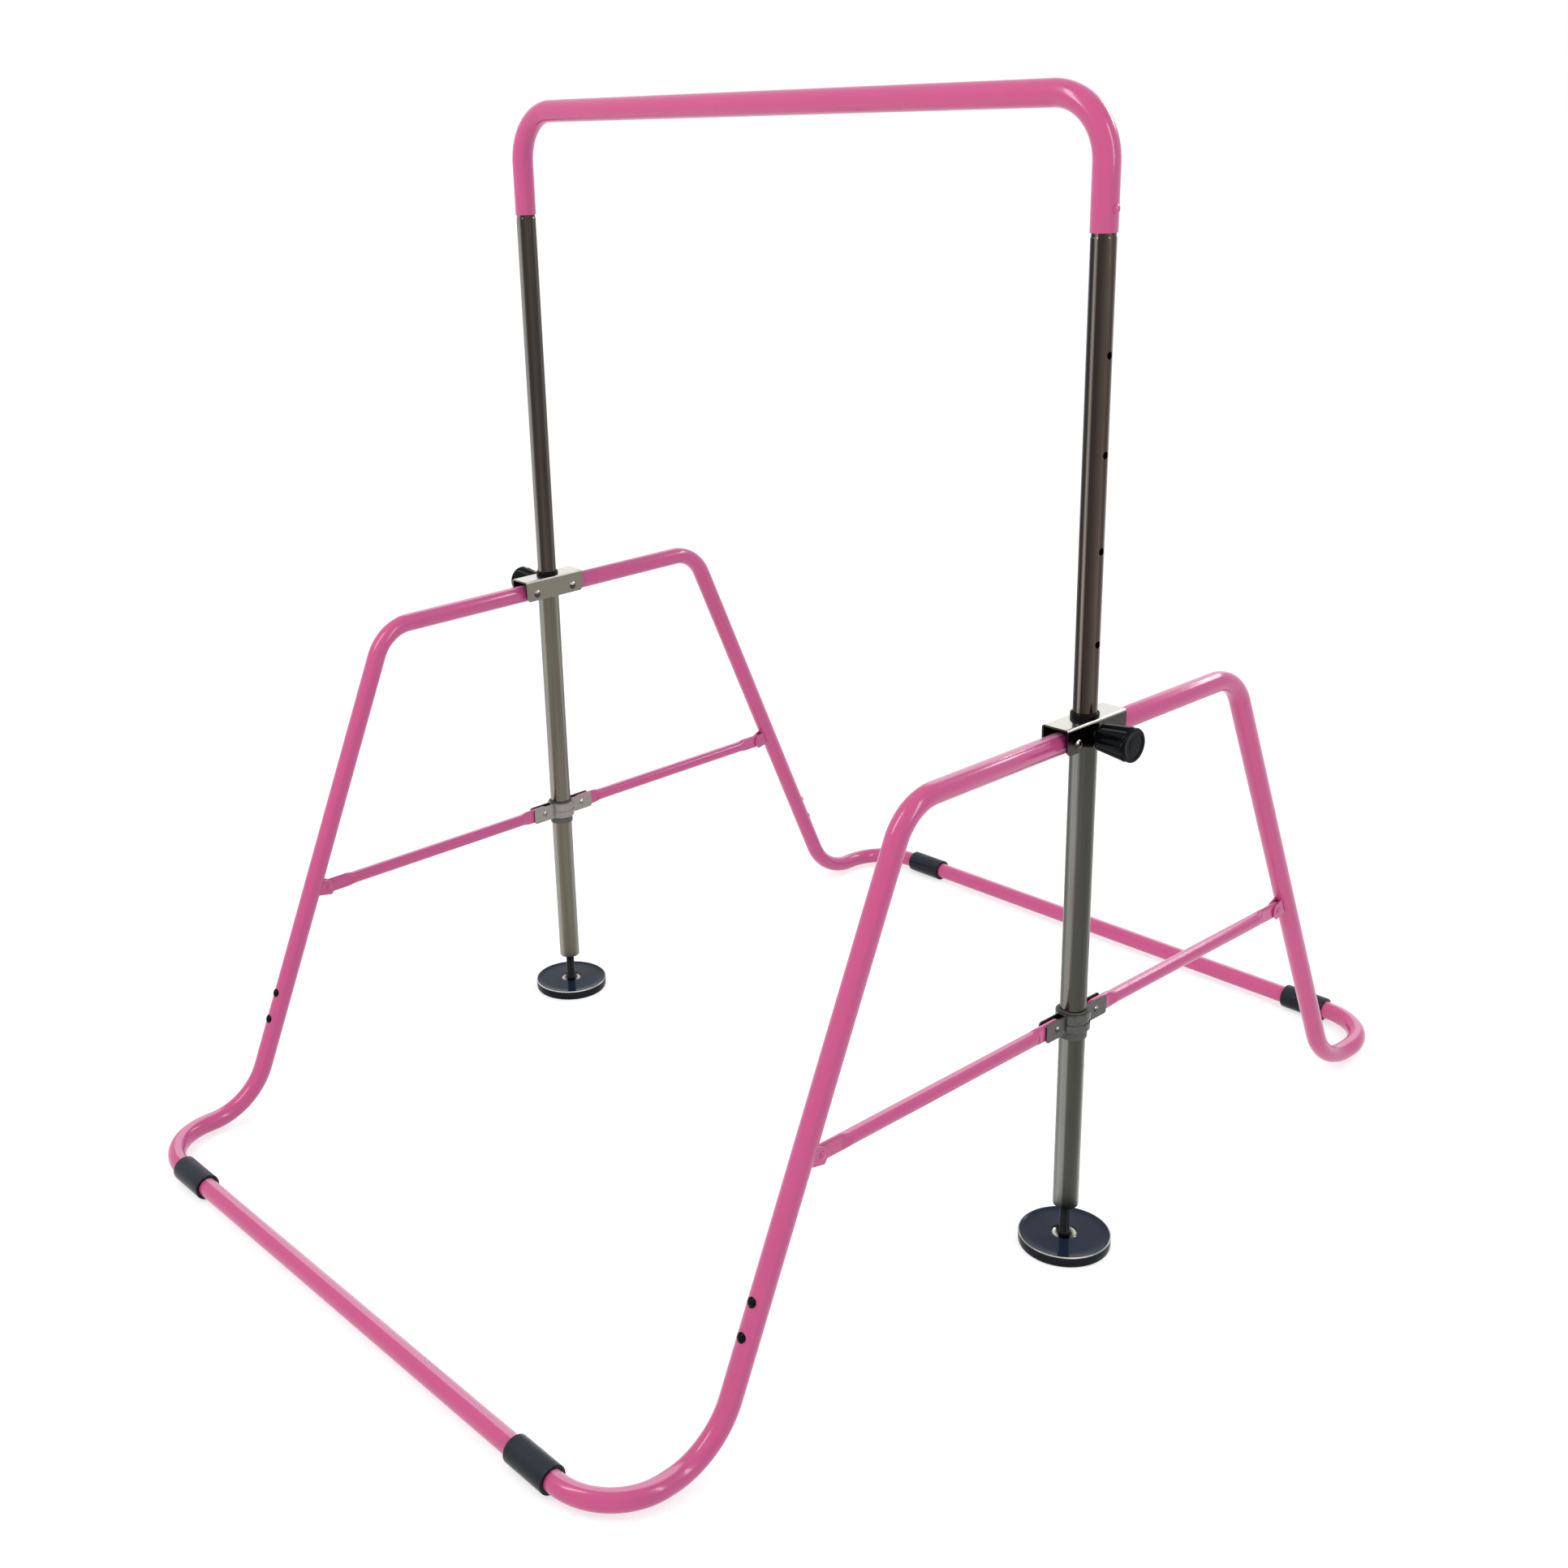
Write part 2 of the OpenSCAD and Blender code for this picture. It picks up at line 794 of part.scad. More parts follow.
module collar_rivets_on(side) {
    color(steel) at_post(side)
        for (end = [-1, 1])
            translate([0, end * collar_pivot, brace_z]) rivet(ear_in + ear_plate, 9, 2);
}

// ---------- feet ----------
module foot_insert_on(side) {
    color(black) at_post(side)
        tube_between(lower_bore - 0.1, stud_d + 2 * slide_gap, insert_start,
                     insert_start + insert_len);
}

// threaded stud with a round foot that turns in the pad
module foot_stud_on(side) {
    flange_d = pocket_d - 1;
    color(black) at_post(side) union() {
        translate([0, 0, pad_floor + 0.4]) cylinder(d = flange_d, h = 4);
        translate([0, 0, pad_floor + 4]) cylinder(d = stud_d, h = stud_top - pad_floor - 5);
        translate([0, 0, stud_top - 1]) cylinder(d1 = stud_d, d2 = stud_d - 2, h = 1);
    }
}

// steel ring pressed into the pad over the stud's round foot, which it holds in
module foot_ring_on(side) {
    edge = 0.4;
    base = pad_h - ring_sink - ring_h;
    color(steel) at_post(side) difference() {
        union() {
            translate([0, 0, base]) cylinder(d = ring_d - 0.1, h = ring_h - edge);
            translate([0, 0, base + ring_h - edge])
                cylinder(d1 = ring_d - 0.1, d2 = ring_d - 0.1 - 2 * edge, h = edge);
        }
        translate([0, 0, base - 1]) cylinder(d = stud_d + 0.7, h = ring_h + 2);
    }
}

module foot_pad_on(side) {
    edge = 4;
    r = pad_d / 2;
    foot = 3;
    recess = ring_sink + ring_h;
    color(navy) at_post(side) rotate_extrude() difference() {
        union() {
            square([r - edge, pad_h]);
            translate([0, foot]) square([r, pad_h - edge - foot]);
            translate([r - edge, pad_h - edge]) circle(edge);
            polygon([[0, 0], [r - foot, 0], [r, foot], [0, foot]]);
        }
        translate([-1, pad_floor]) square([pocket_d / 2 + 1, pad_h]);
        translate([-1, pad_h - recess]) square([ring_d / 2 + 1, recess + 1]);
    }
}

grip_bar();
upper_post_on(1);  // right_upper_post
upper_post_on(-1);  // left_upper_post
bar_bolts();
glide_bush_on(1);  // right_glide_bush
glide_bush_on(-1);  // left_glide_bush
lower_post_on(1);  // right_lower_post
lower_post_on(-1);  // left_lower_post
bracket_on(1);  // right_bracket
bracket_on(-1);  // left_bracket
guide_bush_on(1);  // right_guide_bush
guide_bush_on(-1);  // left_guide_bush
hinge_rivets();
plunger_barrel_on(1);  // right_plunger_barrel
plunger_barrel_on(-1);  // left_plunger_barrel
foot_insert_on(1);  // right_foot_insert
foot_insert_on(-1);  // left_foot_insert
lock_pin_on(1);  // right_lock_pin
lock_pin_on(-1);  // left_lock_pin
lock_knob_on(1);  // right_lock_knob
lock_knob_on(-1);  // left_lock_knob
knob_cap_on(1);  // right_knob_cap
knob_cap_on(-1);  // left_knob_cap
pin_spring_on(1);  // right_pin_spring
pin_spring_on(-1);  // left_pin_spring
leg_on(-1, 1);  // front_right_leg
leg_on(-1, -1);  // front_left_leg
leg_on(1, 1);  // rear_right_leg
leg_on(1, -1);  // rear_left_leg
crossbar_on(-1);  // front_crossbar
crossbar_on(1);  // rear_crossbar
sleeves_on(-1);  // front_sleeves
sleeves_on(1);  // rear_sleeves
tabs_on(-1);  // front_tabs
tabs_on(1);  // rear_tabs
tab_rivets_on(-1);  // front_tab_rivets
tab_rivets_on(1);  // rear_tab_rivets
leg_plugs_on(-1);  // front_leg_plugs
leg_plugs_on(1);  // rear_leg_plugs
hinge_pins_on(-1);  // front_hinge_pins
hinge_pins_on(1);  // rear_hinge_pins
collar_outer_on(1);  // right_collar_outer
collar_outer_on(-1);  // left_collar_outer
collar_inner_on(1);  // right_collar_inner
collar_inner_on(-1);  // left_collar_inner
collar_bush_on(1);  // right_collar_bush
collar_bush_on(-1);  // left_collar_bush
collar_rivets_on(1);  // right_collar_rivets
collar_rivets_on(-1);  // left_collar_rivets
brace_on(-1, 1);  // front_right_brace
brace_on(-1, -1);  // front_left_brace
brace_on(1, 1);  // rear_right_brace
brace_on(1, -1);  // rear_left_brace
foot_stud_on(1);  // right_foot_stud
foot_stud_on(-1);  // left_foot_stud
foot_ring_on(1);  // right_foot_ring
foot_ring_on(-1);  // left_foot_ring
foot_pad_on(1);  // right_foot_pad
foot_pad_on(-1);  // left_foot_pad
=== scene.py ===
import json
import math
import random

import bmesh
import bpy
from mathutils import Matrix, Vector


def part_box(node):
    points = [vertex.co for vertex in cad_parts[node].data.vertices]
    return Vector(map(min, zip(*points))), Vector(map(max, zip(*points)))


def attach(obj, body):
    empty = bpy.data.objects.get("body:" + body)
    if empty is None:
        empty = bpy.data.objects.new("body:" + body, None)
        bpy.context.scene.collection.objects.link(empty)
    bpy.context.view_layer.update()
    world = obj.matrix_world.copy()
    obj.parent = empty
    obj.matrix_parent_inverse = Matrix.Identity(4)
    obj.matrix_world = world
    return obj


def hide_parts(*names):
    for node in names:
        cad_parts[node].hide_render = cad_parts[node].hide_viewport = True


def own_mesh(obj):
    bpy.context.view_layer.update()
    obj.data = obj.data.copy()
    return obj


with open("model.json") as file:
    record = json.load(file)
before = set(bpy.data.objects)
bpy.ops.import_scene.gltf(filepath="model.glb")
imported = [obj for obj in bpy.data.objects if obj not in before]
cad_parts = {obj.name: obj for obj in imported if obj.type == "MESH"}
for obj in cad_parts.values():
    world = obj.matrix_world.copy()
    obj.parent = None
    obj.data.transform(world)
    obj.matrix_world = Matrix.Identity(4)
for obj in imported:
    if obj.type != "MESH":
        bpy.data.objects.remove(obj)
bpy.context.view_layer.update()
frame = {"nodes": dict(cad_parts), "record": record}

NODES = frame["nodes"]
RECORD = frame["record"]
SLOT_OF = {s["node"]: s["material_slot"] for s in RECORD["subparts"]}
BODY_OF = {n: b for b, group in RECORD["behaviour"]["bodies"].items() for n in group}
JOINTS = {j["name"]: j for j in RECORD["behaviour"]["joints"]}
SIDES = {"right": 1, "left": -1}
ENDS = {"front": -1, "rear": 1}
MM = 0.001

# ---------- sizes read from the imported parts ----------
POST_X = JOINTS["right_pad_swivel"]["pos_m"][0]
BRACE_Z = JOINTS["rear_right_brace_swing"]["pos_m"][2]
COLLAR_PIVOT = JOINTS["rear_right_brace_swing"]["pos_m"][1]
TAB_PIVOT = JOINTS["rear_frame_fold"]["pos_m"][1]
bar_lo, bar_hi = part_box("grip_bar")
BAR_R = bar_hi.x - POST_X
BAR_Z = bar_hi.z - BAR_R
leg_lo, leg_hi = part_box("rear_right_leg")
LEG_R = leg_hi.x - POST_X
HINGE_Z = leg_hi.z - LEG_R
FLOOR_Z = leg_lo.z + LEG_R
CROSS_Y = leg_hi.y - LEG_R
post_lo, post_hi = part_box("right_lower_post")
LOWER_R = post_hi.x - POST_X
pad_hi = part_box("right_foot_pad")[1]
PAD_R = pad_hi.x - POST_X
bracket_lo, bracket_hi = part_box("right_bracket")

PIN_Z = sum(corner.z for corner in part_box("right_lock_knob")) / 2

# ---------- sizes that a box doesn't give, as drawn in the part ----------
HINGE_Y = 37 * MM
LEG_TOP_Y, LEG_FOOT_Y = 323 * MM, 645 * MM
TOP_BEND, FOOT_BEND, CORNER_BEND, BAR_BEND = 70 * MM, 105 * MM, 88 * MM, 75 * MM
TUBE_WALL, LOWER_POST_WALL = 1.5 * MM, 1.2 * MM
GUIDE_BORE = 15.08 * MM
KNOB_START_R, KNOB_END_R, KNOB_SOCKET_R = 17 * MM, 23 * MM, 7.8 * MM
CROSSBAR_HALF, CROSSBAR_NECK_R = 419 * MM, LEG_R - 1.6 * MM
SLEEVE_LENGTH = 72 * MM
PLUG_HEIGHTS = (149 * MM, 188 * MM)
BRACE_D, SQUEEZE = 19 * MM, 16 * MM
# thickness, height and length of the braces' flattened ends
COLLAR_END = (9 * MM, 24 * MM, 30 * MM)
TAB_END = (7 * MM, 23 * MM, 34 * MM)
STUD_R = 7 * MM
THREAD_LOW, THREAD_HIGH = 15 * MM, 66 * MM
THREAD_PITCH, THREAD_DEPTH = 1.75 * MM, 0.75 * MM
LEG_TILT = math.atan2(LEG_FOOT_Y - LEG_TOP_Y, HINGE_Z - FLOOR_Z)


def leg_y(z):
    """How far out a leg's straight part is at a height."""
    return LEG_FOOT_Y - (z - FLOOR_Z) * math.tan(LEG_TILT)


def smooth(t):
    """Eases 0 to 1 in and out."""
    t = min(max(t, 0.0), 1.0)
    return t * t * (3 - 2 * t)


# ---------- materials ----------
class Nodes:
    """A small helper for building one material's node tree."""

    def __init__(self, name):
        self.mat = bpy.data.materials.new(name)
        self.mat.use_nodes = True
        self.tree = self.mat.node_tree
        self.tree.nodes.clear()
        output = self.add("ShaderNodeOutputMaterial")
        self.bsdf = self.add("ShaderNodeBsdfPrincipled")
        self.link(self.bsdf.outputs[0], output.inputs["Surface"])
        coords = self.add("ShaderNodeTexCoord")
        self.coord = coords.outputs["Object"]
        self.normal = coords.outputs["Normal"]

    def add(self, kind):
        return self.tree.nodes.new(kind)

    def link(self, a, b):
        self.tree.links.new(a, b)

    def noise(self, scale, detail=4.0, rough=0.55, stretch=None):
        node = self.add("ShaderNodeTexNoise")
        node.inputs["Scale"].default_value = scale
        node.inputs["Detail"].default_value = detail
        node.inputs["Roughness"].default_value = rough
        source = self.coord
        if stretch:
            mapping = self.add("ShaderNodeMapping")
            mapping.inputs["Scale"].default_value = stretch
            self.link(source, mapping.inputs["Vector"])
            source = mapping.outputs[0]
        self.link(source, node.inputs["Vector"])
        return node.outputs["Fac"]

    def facing(self, direction):
        """0 to 1: how far the surface faces along a fixed direction of the object."""
        dot = self.add("ShaderNodeVectorMath")
        dot.operation = "DOT_PRODUCT"
        dot.inputs[1].default_value = direction
        self.link(self.normal, dot.inputs[0])
        return self.spread(dot.outputs["Value"], 0.0, 1.0, (-1.0, 1.0))

    def ramp(self, fac, stops):
        """A colour for each value of fac, from (position, colour) stops."""
        node = self.add("ShaderNodeValToRGB")
        ramp = node.color_ramp
        while len(ramp.elements) < len(stops):
            ramp.elements.new(0.5)
        for element, (at, colour) in zip(ramp.elements, stops):
            element.position = at
            element.color = (*colour, 1.0)
        self.link(fac, node.inputs[0])
        return node.outputs[0]

    def spread(self, fac, low, high, at=(0.3, 0.7)):
        """Maps the values of fac between the two of at to low and high."""
        node = self.add("ShaderNodeMapRange")
        node.inputs["From Min"].default_value = at[0]
        node.inputs["From Max"].default_value = at[1]
        node.inputs["To Min"].default_value = low
        node.inputs["To Max"].default_value = high
        self.link(fac, node.inputs["Value"])
        return node.outputs[0]

    def blend(self, fac, a, b, how="MIX"):
        node = self.add("ShaderNodeMixRGB")
        node.blend_type = how
        for value, socket in ((fac, node.inputs[0]), (a, node.inputs[1]), (b, node.inputs[2])):
            if isinstance(value, (int, float)):
                socket.default_value = value
            elif isinstance(value, tuple):
                socket.default_value = (*value, 1.0)
            else:
                self.link(value, socket)
        return node.outputs[0]

    def bump(self, layers):
        """Stacks bumps, each given as (height, distance, strength)."""
        normal = None
        for fac, distance, strength in layers:
            node = self.add("ShaderNodeBump")
            node.inputs["Distance"].default_value = distance
            node.inputs["Strength"].default_value = strength
            self.link(fac, node.inputs["Height"])
            if normal is not None:
                self.link(normal, node.inputs["Normal"])
            normal = node.outputs[0]
        self.link(normal, self.bsdf.inputs["Normal"])

    def colour(self, source):
        self.link(source, self.bsdf.inputs["Base Color"])

    def roughness(self, source):
        self.link(source, self.bsdf.inputs["Roughness"])

    def set(self, **values):
        for key, value in values.items():
            self.bsdf.inputs[key.replace("_", " ")].default_value = value


def srgb(r, g, b):
    """A screen colour, 0 to 255, as the linear values that shaders use."""
    def lin(c):
        c /= 255.0
        return c / 12.92 if c <= 0.04045 else ((c + 0.055) / 1.055) ** 2.4
    return lin(r), lin(g), lin(b)


# the direction across the tubes in which their painted reflections, painted shade and painted
# glints grow lighter
PAINTED_LIGHT_SIDE = (-0.626, -0.780, 0.0)


def pink_paint():
    """Gloss powder coat: painted shade on the side turned away from the light, a painted highlight
    along the top, fine orange peel, faint cloudiness, a few specks and rubbed marks.
    """
    n = Nodes("pink_paint")
    # painted shade: the side of each tube turned away from the light is painted darker
    tone = n.ramp(n.facing(PAINTED_LIGHT_SIDE), [(0.05, srgb(165, 64, 113)), (0.36, srgb(168, 64, 114)),
                                     (0.50, srgb(178, 67, 117)), (0.90, srgb(182, 70, 120))])
    cloud = n.ramp(n.noise(7.0, 3.0), [(0.3, (0.95, 0.95, 0.95)), (0.7, (1.0, 1.0, 1.0))])
    base = n.blend(1.0, tone, cloud, "MULTIPLY")
    # painted highlight: a lighter strip along the tubes where they look up
    crown = n.spread(n.facing((0.0, 0.25, 0.97)), 0.0, 0.75, (0.945, 0.970))
    base = n.blend(crown, base, srgb(194, 132, 158))
    specks = n.spread(n.noise(1500.0, 2.0), 0.0, 1.0, (0.72, 0.76))
    n.colour(n.blend(specks, base, srgb(150, 52, 95)))
    rubbed = n.spread(n.noise(38.0, 6.0, 0.65), 0.20, 0.30, (0.35, 0.7))
    n.roughness(rubbed)
    n.bump([(n.noise(620.0, 2.0), 0.00012, 0.14), (n.noise(150.0, 2.0), 0.00025, 0.07)])
    n.set(Coat_Weight=0.3, Coat_Roughness=0.08)
    n.bsdf.inputs["Specular IOR Level"].default_value = 0.3
    return n.mat


def plating_with_painted_reflections(name, painted_reflections, rough, axis):
    """Polished tube: painted reflections in bands along it, fine drawn lines and rub marks."""
    n = Nodes(name)
    # painted reflections: colour bands that follow which way the surface faces
    base = n.ramp(n.facing(axis), painted_reflections)
    drawn = n.noise(260.0, 3.0, stretch=(1.0, 1.0, 0.015))
    tone = n.ramp(drawn, [(0.3, (0.80, 0.80, 0.80)), (0.7, (1.0, 1.0, 1.0))])
    haze = n.ramp(n.noise(5.0, 3.0, stretch=(1.0, 1.0, 0.6)),
                  [(0.35, (0.90, 0.90, 0.90)), (0.65, (1.0, 1.0, 1.0))])
    n.colour(n.blend(1.0, n.blend(1.0, base, tone, "MULTIPLY"), haze, "MULTIPLY"))
    smudge = n.noise(55.0, 6.0, 0.65)
    n.roughness(n.spread(smudge, rough * 0.75, rough * 1.4))
    scratch = n.noise(1400.0, 2.0, stretch=(1.0, 1.0, 0.006))
    n.bump([(scratch, 0.00006, 0.16)])
    n.set(Metallic=1.0)
    return n.mat


def plated(name, light, dark, rough, top=None):
    """Plated pressed metal: faint grain, smudges, and a painted highlight on faces that look up,
    when top is given.
    """
    n = Nodes(name)
    grain = n.noise(300.0, 4.0)
    base = n.ramp(grain, [(0.3, dark), (0.7, light)])
    if top:
        # painted highlight: faces that look up take the top colour
        up = n.spread(n.facing((0.0, 0.0, 1.0)), 0.0, 1.0, (0.55, 0.95))
        base = n.blend(up, base, top)
    n.colour(base)
    n.roughness(n.spread(n.noise(90.0, 6.0, 0.65), rough * 0.75, rough * 1.4))
    n.bump([(n.noise(1300.0, 3.0), 0.00005, 0.18), (n.noise(70.0, 2.0), 0.00020, 0.08)])
    n.set(Metallic=1.0)
    return n.mat


def moulded(name, light, dark, rough, grain, coat=0.0, gloss=0.12, sides=None):
    """Moulded plastic: even tone with faint flow marks, fine texture, scuffs in the gloss, and
    painted shade on faces that don't look up, when sides is given.
    """
    n = Nodes(name)
    flow = n.noise(22.0, 5.0, 0.6)
    base = n.ramp(flow, [(0.3, dark), (0.7, light)])
    if sides:
        # painted shade: faces that don't look up take the sides colour
        up = n.spread(n.facing((0.0, 0.0, 1.0)), 0.0, 1.0, (0.55, 0.95))
        base = n.blend(up, sides, base)
    n.colour(base)
    scuff = n.noise(160.0, 6.0, 0.7)
    n.roughness(n.spread(scuff, rough * 0.8, rough * 1.35))
    n.bump([(n.noise(1500.0, 2.0), 0.00010, grain), (n.noise(60.0, 2.0), 0.00018, 0.08)])
    n.set(Coat_Weight=coat, Coat_Roughness=0.06)
    n.bsdf.inputs["Specular IOR Level"].default_value = gloss
    return n.mat


def painted_rim_highlight(name, bright, dark):
    """Black moulding's top edge with a painted highlight, bright on the side that looks to the
    front right and broken up in patches.
    """
    n = Nodes(name)
    side = n.spread(n.facing((0.62, -0.78, 0.0)), 0.0, 1.0, (0.34, 0.62))
    patches = n.spread(n.noise(18.0, 3.0), 0.35, 1.0, (0.38, 0.6))
    highlight_mask = n.blend(1.0, side, patches, "MULTIPLY")
    n.colour(n.blend(highlight_mask, dark, bright))
    n.roughness(n.spread(n.noise(160.0, 5.0, 0.7), 0.14, 0.3))
    n.bump([(n.noise(900.0, 2.0), 0.00005, 0.12)])
    n.bsdf.inputs["Specular IOR Level"].default_value = 0.3
    return n.mat


def ring_with_painted_glints(name, bright, dark):
    """Pressed steel ring, dark but for a painted glint on two opposite sides of its dish."""
    n = Nodes(name)
    glints = n.ramp(n.facing(PAINTED_LIGHT_SIDE), [(0.36, bright), (0.43, dark), (0.57, dark), (0.64, bright)])
    tone = n.ramp(n.noise(240.0, 4.0), [(0.3, (0.84, 0.84, 0.84)), (0.7, (1.0, 1.0, 1.0))])
    n.colour(n.blend(1.0, glints, tone, "MULTIPLY"))
    n.roughness(n.spread(n.noise(120.0, 5.0, 0.65), 0.12, 0.24))
    n.bump([(n.noise(1300.0, 3.0), 0.00005, 0.15)])
    n.set(Metallic=1.0)
    return n.mat


# painted reflections across each plated tube, from the side turned away from the light to the side
# facing it; the left tables are lighter copies, painted for the light on that side
DARK_PAINTED_REFLECTIONS = [
    (0.02, srgb(26, 22, 20)), (0.10, srgb(104, 94, 86)), (0.17, srgb(62, 52, 48)),
    (0.34, srgb(92, 80, 72)), (0.52, srgb(74, 66, 60)), (0.66, srgb(58, 52, 47)),
    (0.80, srgb(52, 46, 42)), (0.88, srgb(150, 143, 134)), (0.93, srgb(60, 54, 50)),
    (0.99, srgb(20, 18, 17)),
]
LIT_LEFT_DARK_PAINTED_REFLECTIONS = [
    (0.02, srgb(26, 24, 22)), (0.10, srgb(96, 90, 86)), (0.20, srgb(64, 58, 55)),
    (0.50, srgb(76, 70, 66)), (0.66, srgb(60, 55, 52)), (0.78, srgb(70, 65, 62)),
    (0.85, srgb(142, 138, 134)), (0.94, srgb(150, 147, 143)), (0.99, srgb(28, 26, 24)),
]
POST_PAINTED_REFLECTIONS = [
    (0.02, srgb(44, 44, 41)), (0.09, srgb(98, 99, 94)), (0.18, srgb(74, 76, 70)),
    (0.40, srgb(70, 71, 65)), (0.62, srgb(76, 77, 71)), (0.72, srgb(80, 81, 75)),
    (0.79, srgb(134, 134, 128)), (0.92, srgb(142, 143, 137)), (0.99, srgb(50, 50, 46)),
]
LIT_LEFT_POST_PAINTED_REFLECTIONS = [
    (0.02, srgb(70, 68, 60)), (0.10, srgb(132, 130, 121)), (0.20, srgb(106, 102, 91)),
    (0.60, srgb(104, 99, 87)), (0.74, srgb(112, 108, 97)), (0.82, srgb(150, 147, 138)),
    (0.93, srgb(146, 143, 134)), (0.99, srgb(60, 58, 52)),
]
MATERIALS = {
    "pink_paint": pink_paint(),
    "dark_chrome": plating_with_painted_reflections("dark_chrome", DARK_PAINTED_REFLECTIONS, 0.16, PAINTED_LIGHT_SIDE),
    "post_chrome": plating_with_painted_reflections("post_chrome", POST_PAINTED_REFLECTIONS, 0.22, PAINTED_LIGHT_SIDE),
    # painted highlight on the bright steel's upward faces
    "bright_steel": plated("bright_steel", srgb(70, 66, 61), srgb(50, 47, 44), 0.14,
                           top=srgb(232, 229, 220)),
    "collar_steel": plated("collar_steel", srgb(92, 92, 90), srgb(74, 74, 72), 0.28),
    "spring_steel": plated("spring_steel", srgb(196, 196, 196), srgb(160, 160, 160), 0.28),
    "black_plastic": moulded("black_plastic", srgb(9, 11, 14), srgb(4, 5, 7), 0.14, 0.12, 0.02,
                             gloss=0.06),
    # painted shade on the sleeves' sides
    "sleeve_plastic": moulded("sleeve_plastic", srgb(36, 41, 50), srgb(28, 33, 41), 0.22, 0.2,
                              0.05, gloss=0.16, sides=srgb(9, 14, 20)),
    # painted shade on the pads' sides
    "pad_plastic": moulded("pad_plastic", srgb(24, 35, 52), srgb(17, 26, 41), 0.14, 0.1, 0.03,
                           sides=srgb(6, 9, 14)),
    "grey_plastic": moulded("grey_plastic", srgb(84, 86, 82), srgb(70, 72, 69), 0.35, 0.25),
    "inner_plastic": moulded("inner_plastic", srgb(30, 31, 33), srgb(20, 21, 23), 0.5, 0.4),
    "black_steel": moulded("black_steel", srgb(20, 22, 25), srgb(11, 12, 15), 0.22, 0.15, 0.05),
}
# lighter, warmer copies for the left side: painted light, for the light that falls on that side
LIT_LEFT_MATERIALS = {
    "dark_chrome": plating_with_painted_reflections("dark_chrome_lit_left", LIT_LEFT_DARK_PAINTED_REFLECTIONS, 0.16, PAINTED_LIGHT_SIDE),
    "post_chrome": plating_with_painted_reflections("post_chrome_lit_left", LIT_LEFT_POST_PAINTED_REFLECTIONS, 0.22, PAINTED_LIGHT_SIDE),
    # painted highlight on upward faces, as on the right
    "bright_steel": plated("bright_steel_lit_left", srgb(120, 116, 106), srgb(113, 109, 100), 0.2,
                           top=srgb(228, 226, 218)),
    "collar_steel": plated("collar_steel_lit_left", srgb(144, 140, 135), srgb(128, 125, 120), 0.28),
}
# the pads' painted rim highlight, and the dished rings' painted glints on two sides
PAD_RIM_HIGHLIGHT = painted_rim_highlight("pad_rim_highlight", srgb(206, 204, 196), srgb(36, 44, 58))
PAD_RING_GLINTS = ring_with_painted_glints("pad_ring", srgb(226, 224, 216), srgb(34, 33, 33))


def material_for(node):
    """The material of a CAD node's slot, on the left in its lighter copy painted for the light
    there.
    """
    left = LIT_LEFT_MATERIALS if node.startswith("left_") else {}
    return left.get(SLOT_OF[node], MATERIALS[SLOT_OF[node]])


for node, obj in NODES.items():
    obj.data.materials.clear()
    obj.data.materials.append(material_for(node))


# ---------- mesh tools ----------
def trim(name, bm, node):
    """Turns a bmesh into a smooth piece on the same body as a CAD node, which stays shown."""
    bmesh.ops.recalc_face_normals(bm, faces=bm.faces)
    mesh = bpy.data.meshes.new(name)
    bm.to_mesh(mesh)
    bm.free()
    mesh.polygons.foreach_set("use_smooth", [True] * len(mesh.polygons))
    obj = bpy.data.objects.new(name, mesh)
    bpy.context.collection.objects.link(obj)
    obj.data.materials.append(material_for(node))
    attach(obj, BODY_OF[node])
    return obj


def make(name, bm, node, sharp=35.0):
    """The same with its sharp edges kept, for a piece that stands for the CAD node."""
    obj = trim(name, bm, node)
    obj.data.set_sharp_from_angle(angle=math.radians(sharp))
    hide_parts(node)
    return obj


def bridge(bm, rings, closed):
    """Quads between neighbouring rings of vertices, and from the last to the first if closed."""
    pairs = list(zip(rings, rings[1:]))
    if closed:
        pairs.append((rings[-1], rings[0]))
    for a, b in pairs:
        for i in range(len(a)):
            k = (i + 1) % len(a)
            bm.faces.new((a[i], a[k], b[k], b[i]))


def basis(direction):
    """Two unit vectors square to a direction."""
    d = Vector(direction).normalized()
    u = d.orthogonal().normalized()
    return d, u, d.cross(u)


def turned(bm, origin, direction, profile, sides=64, closed=True, radius=None):
    """Turns a profile of (distance along the axis, radius) about an axis.
    An open profile is filled at both ends. radius(angle, along, r) may change each point."""
    d, u, w = basis(direction)
    origin = Vector(origin)
    rings = []
    for along, r in profile:
        ring = []
        for i in range(sides):
            a = 2 * math.pi * i / sides
            q = radius(a, along, r) if radius else r
            ring.append(bm.verts.new(origin + d * along + (u * math.cos(a) + w * math.sin(a)) * q))
        rings.append(ring)
    bridge(bm, rings, closed)
    if not closed:
        bm.faces.new(rings[0])
        bm.faces.new(rings[-1])


def arc(centre, r, start, stop, steps):
    """Points of a profile's rounded corner, angles in degrees from the axis' direction."""
    points = []
    for i in range(steps + 1):
        a = math.radians(start + (stop - start) * i / steps)
        points.append((centre[0] + r * math.cos(a), centre[1] + r * math.sin(a)))
    return points


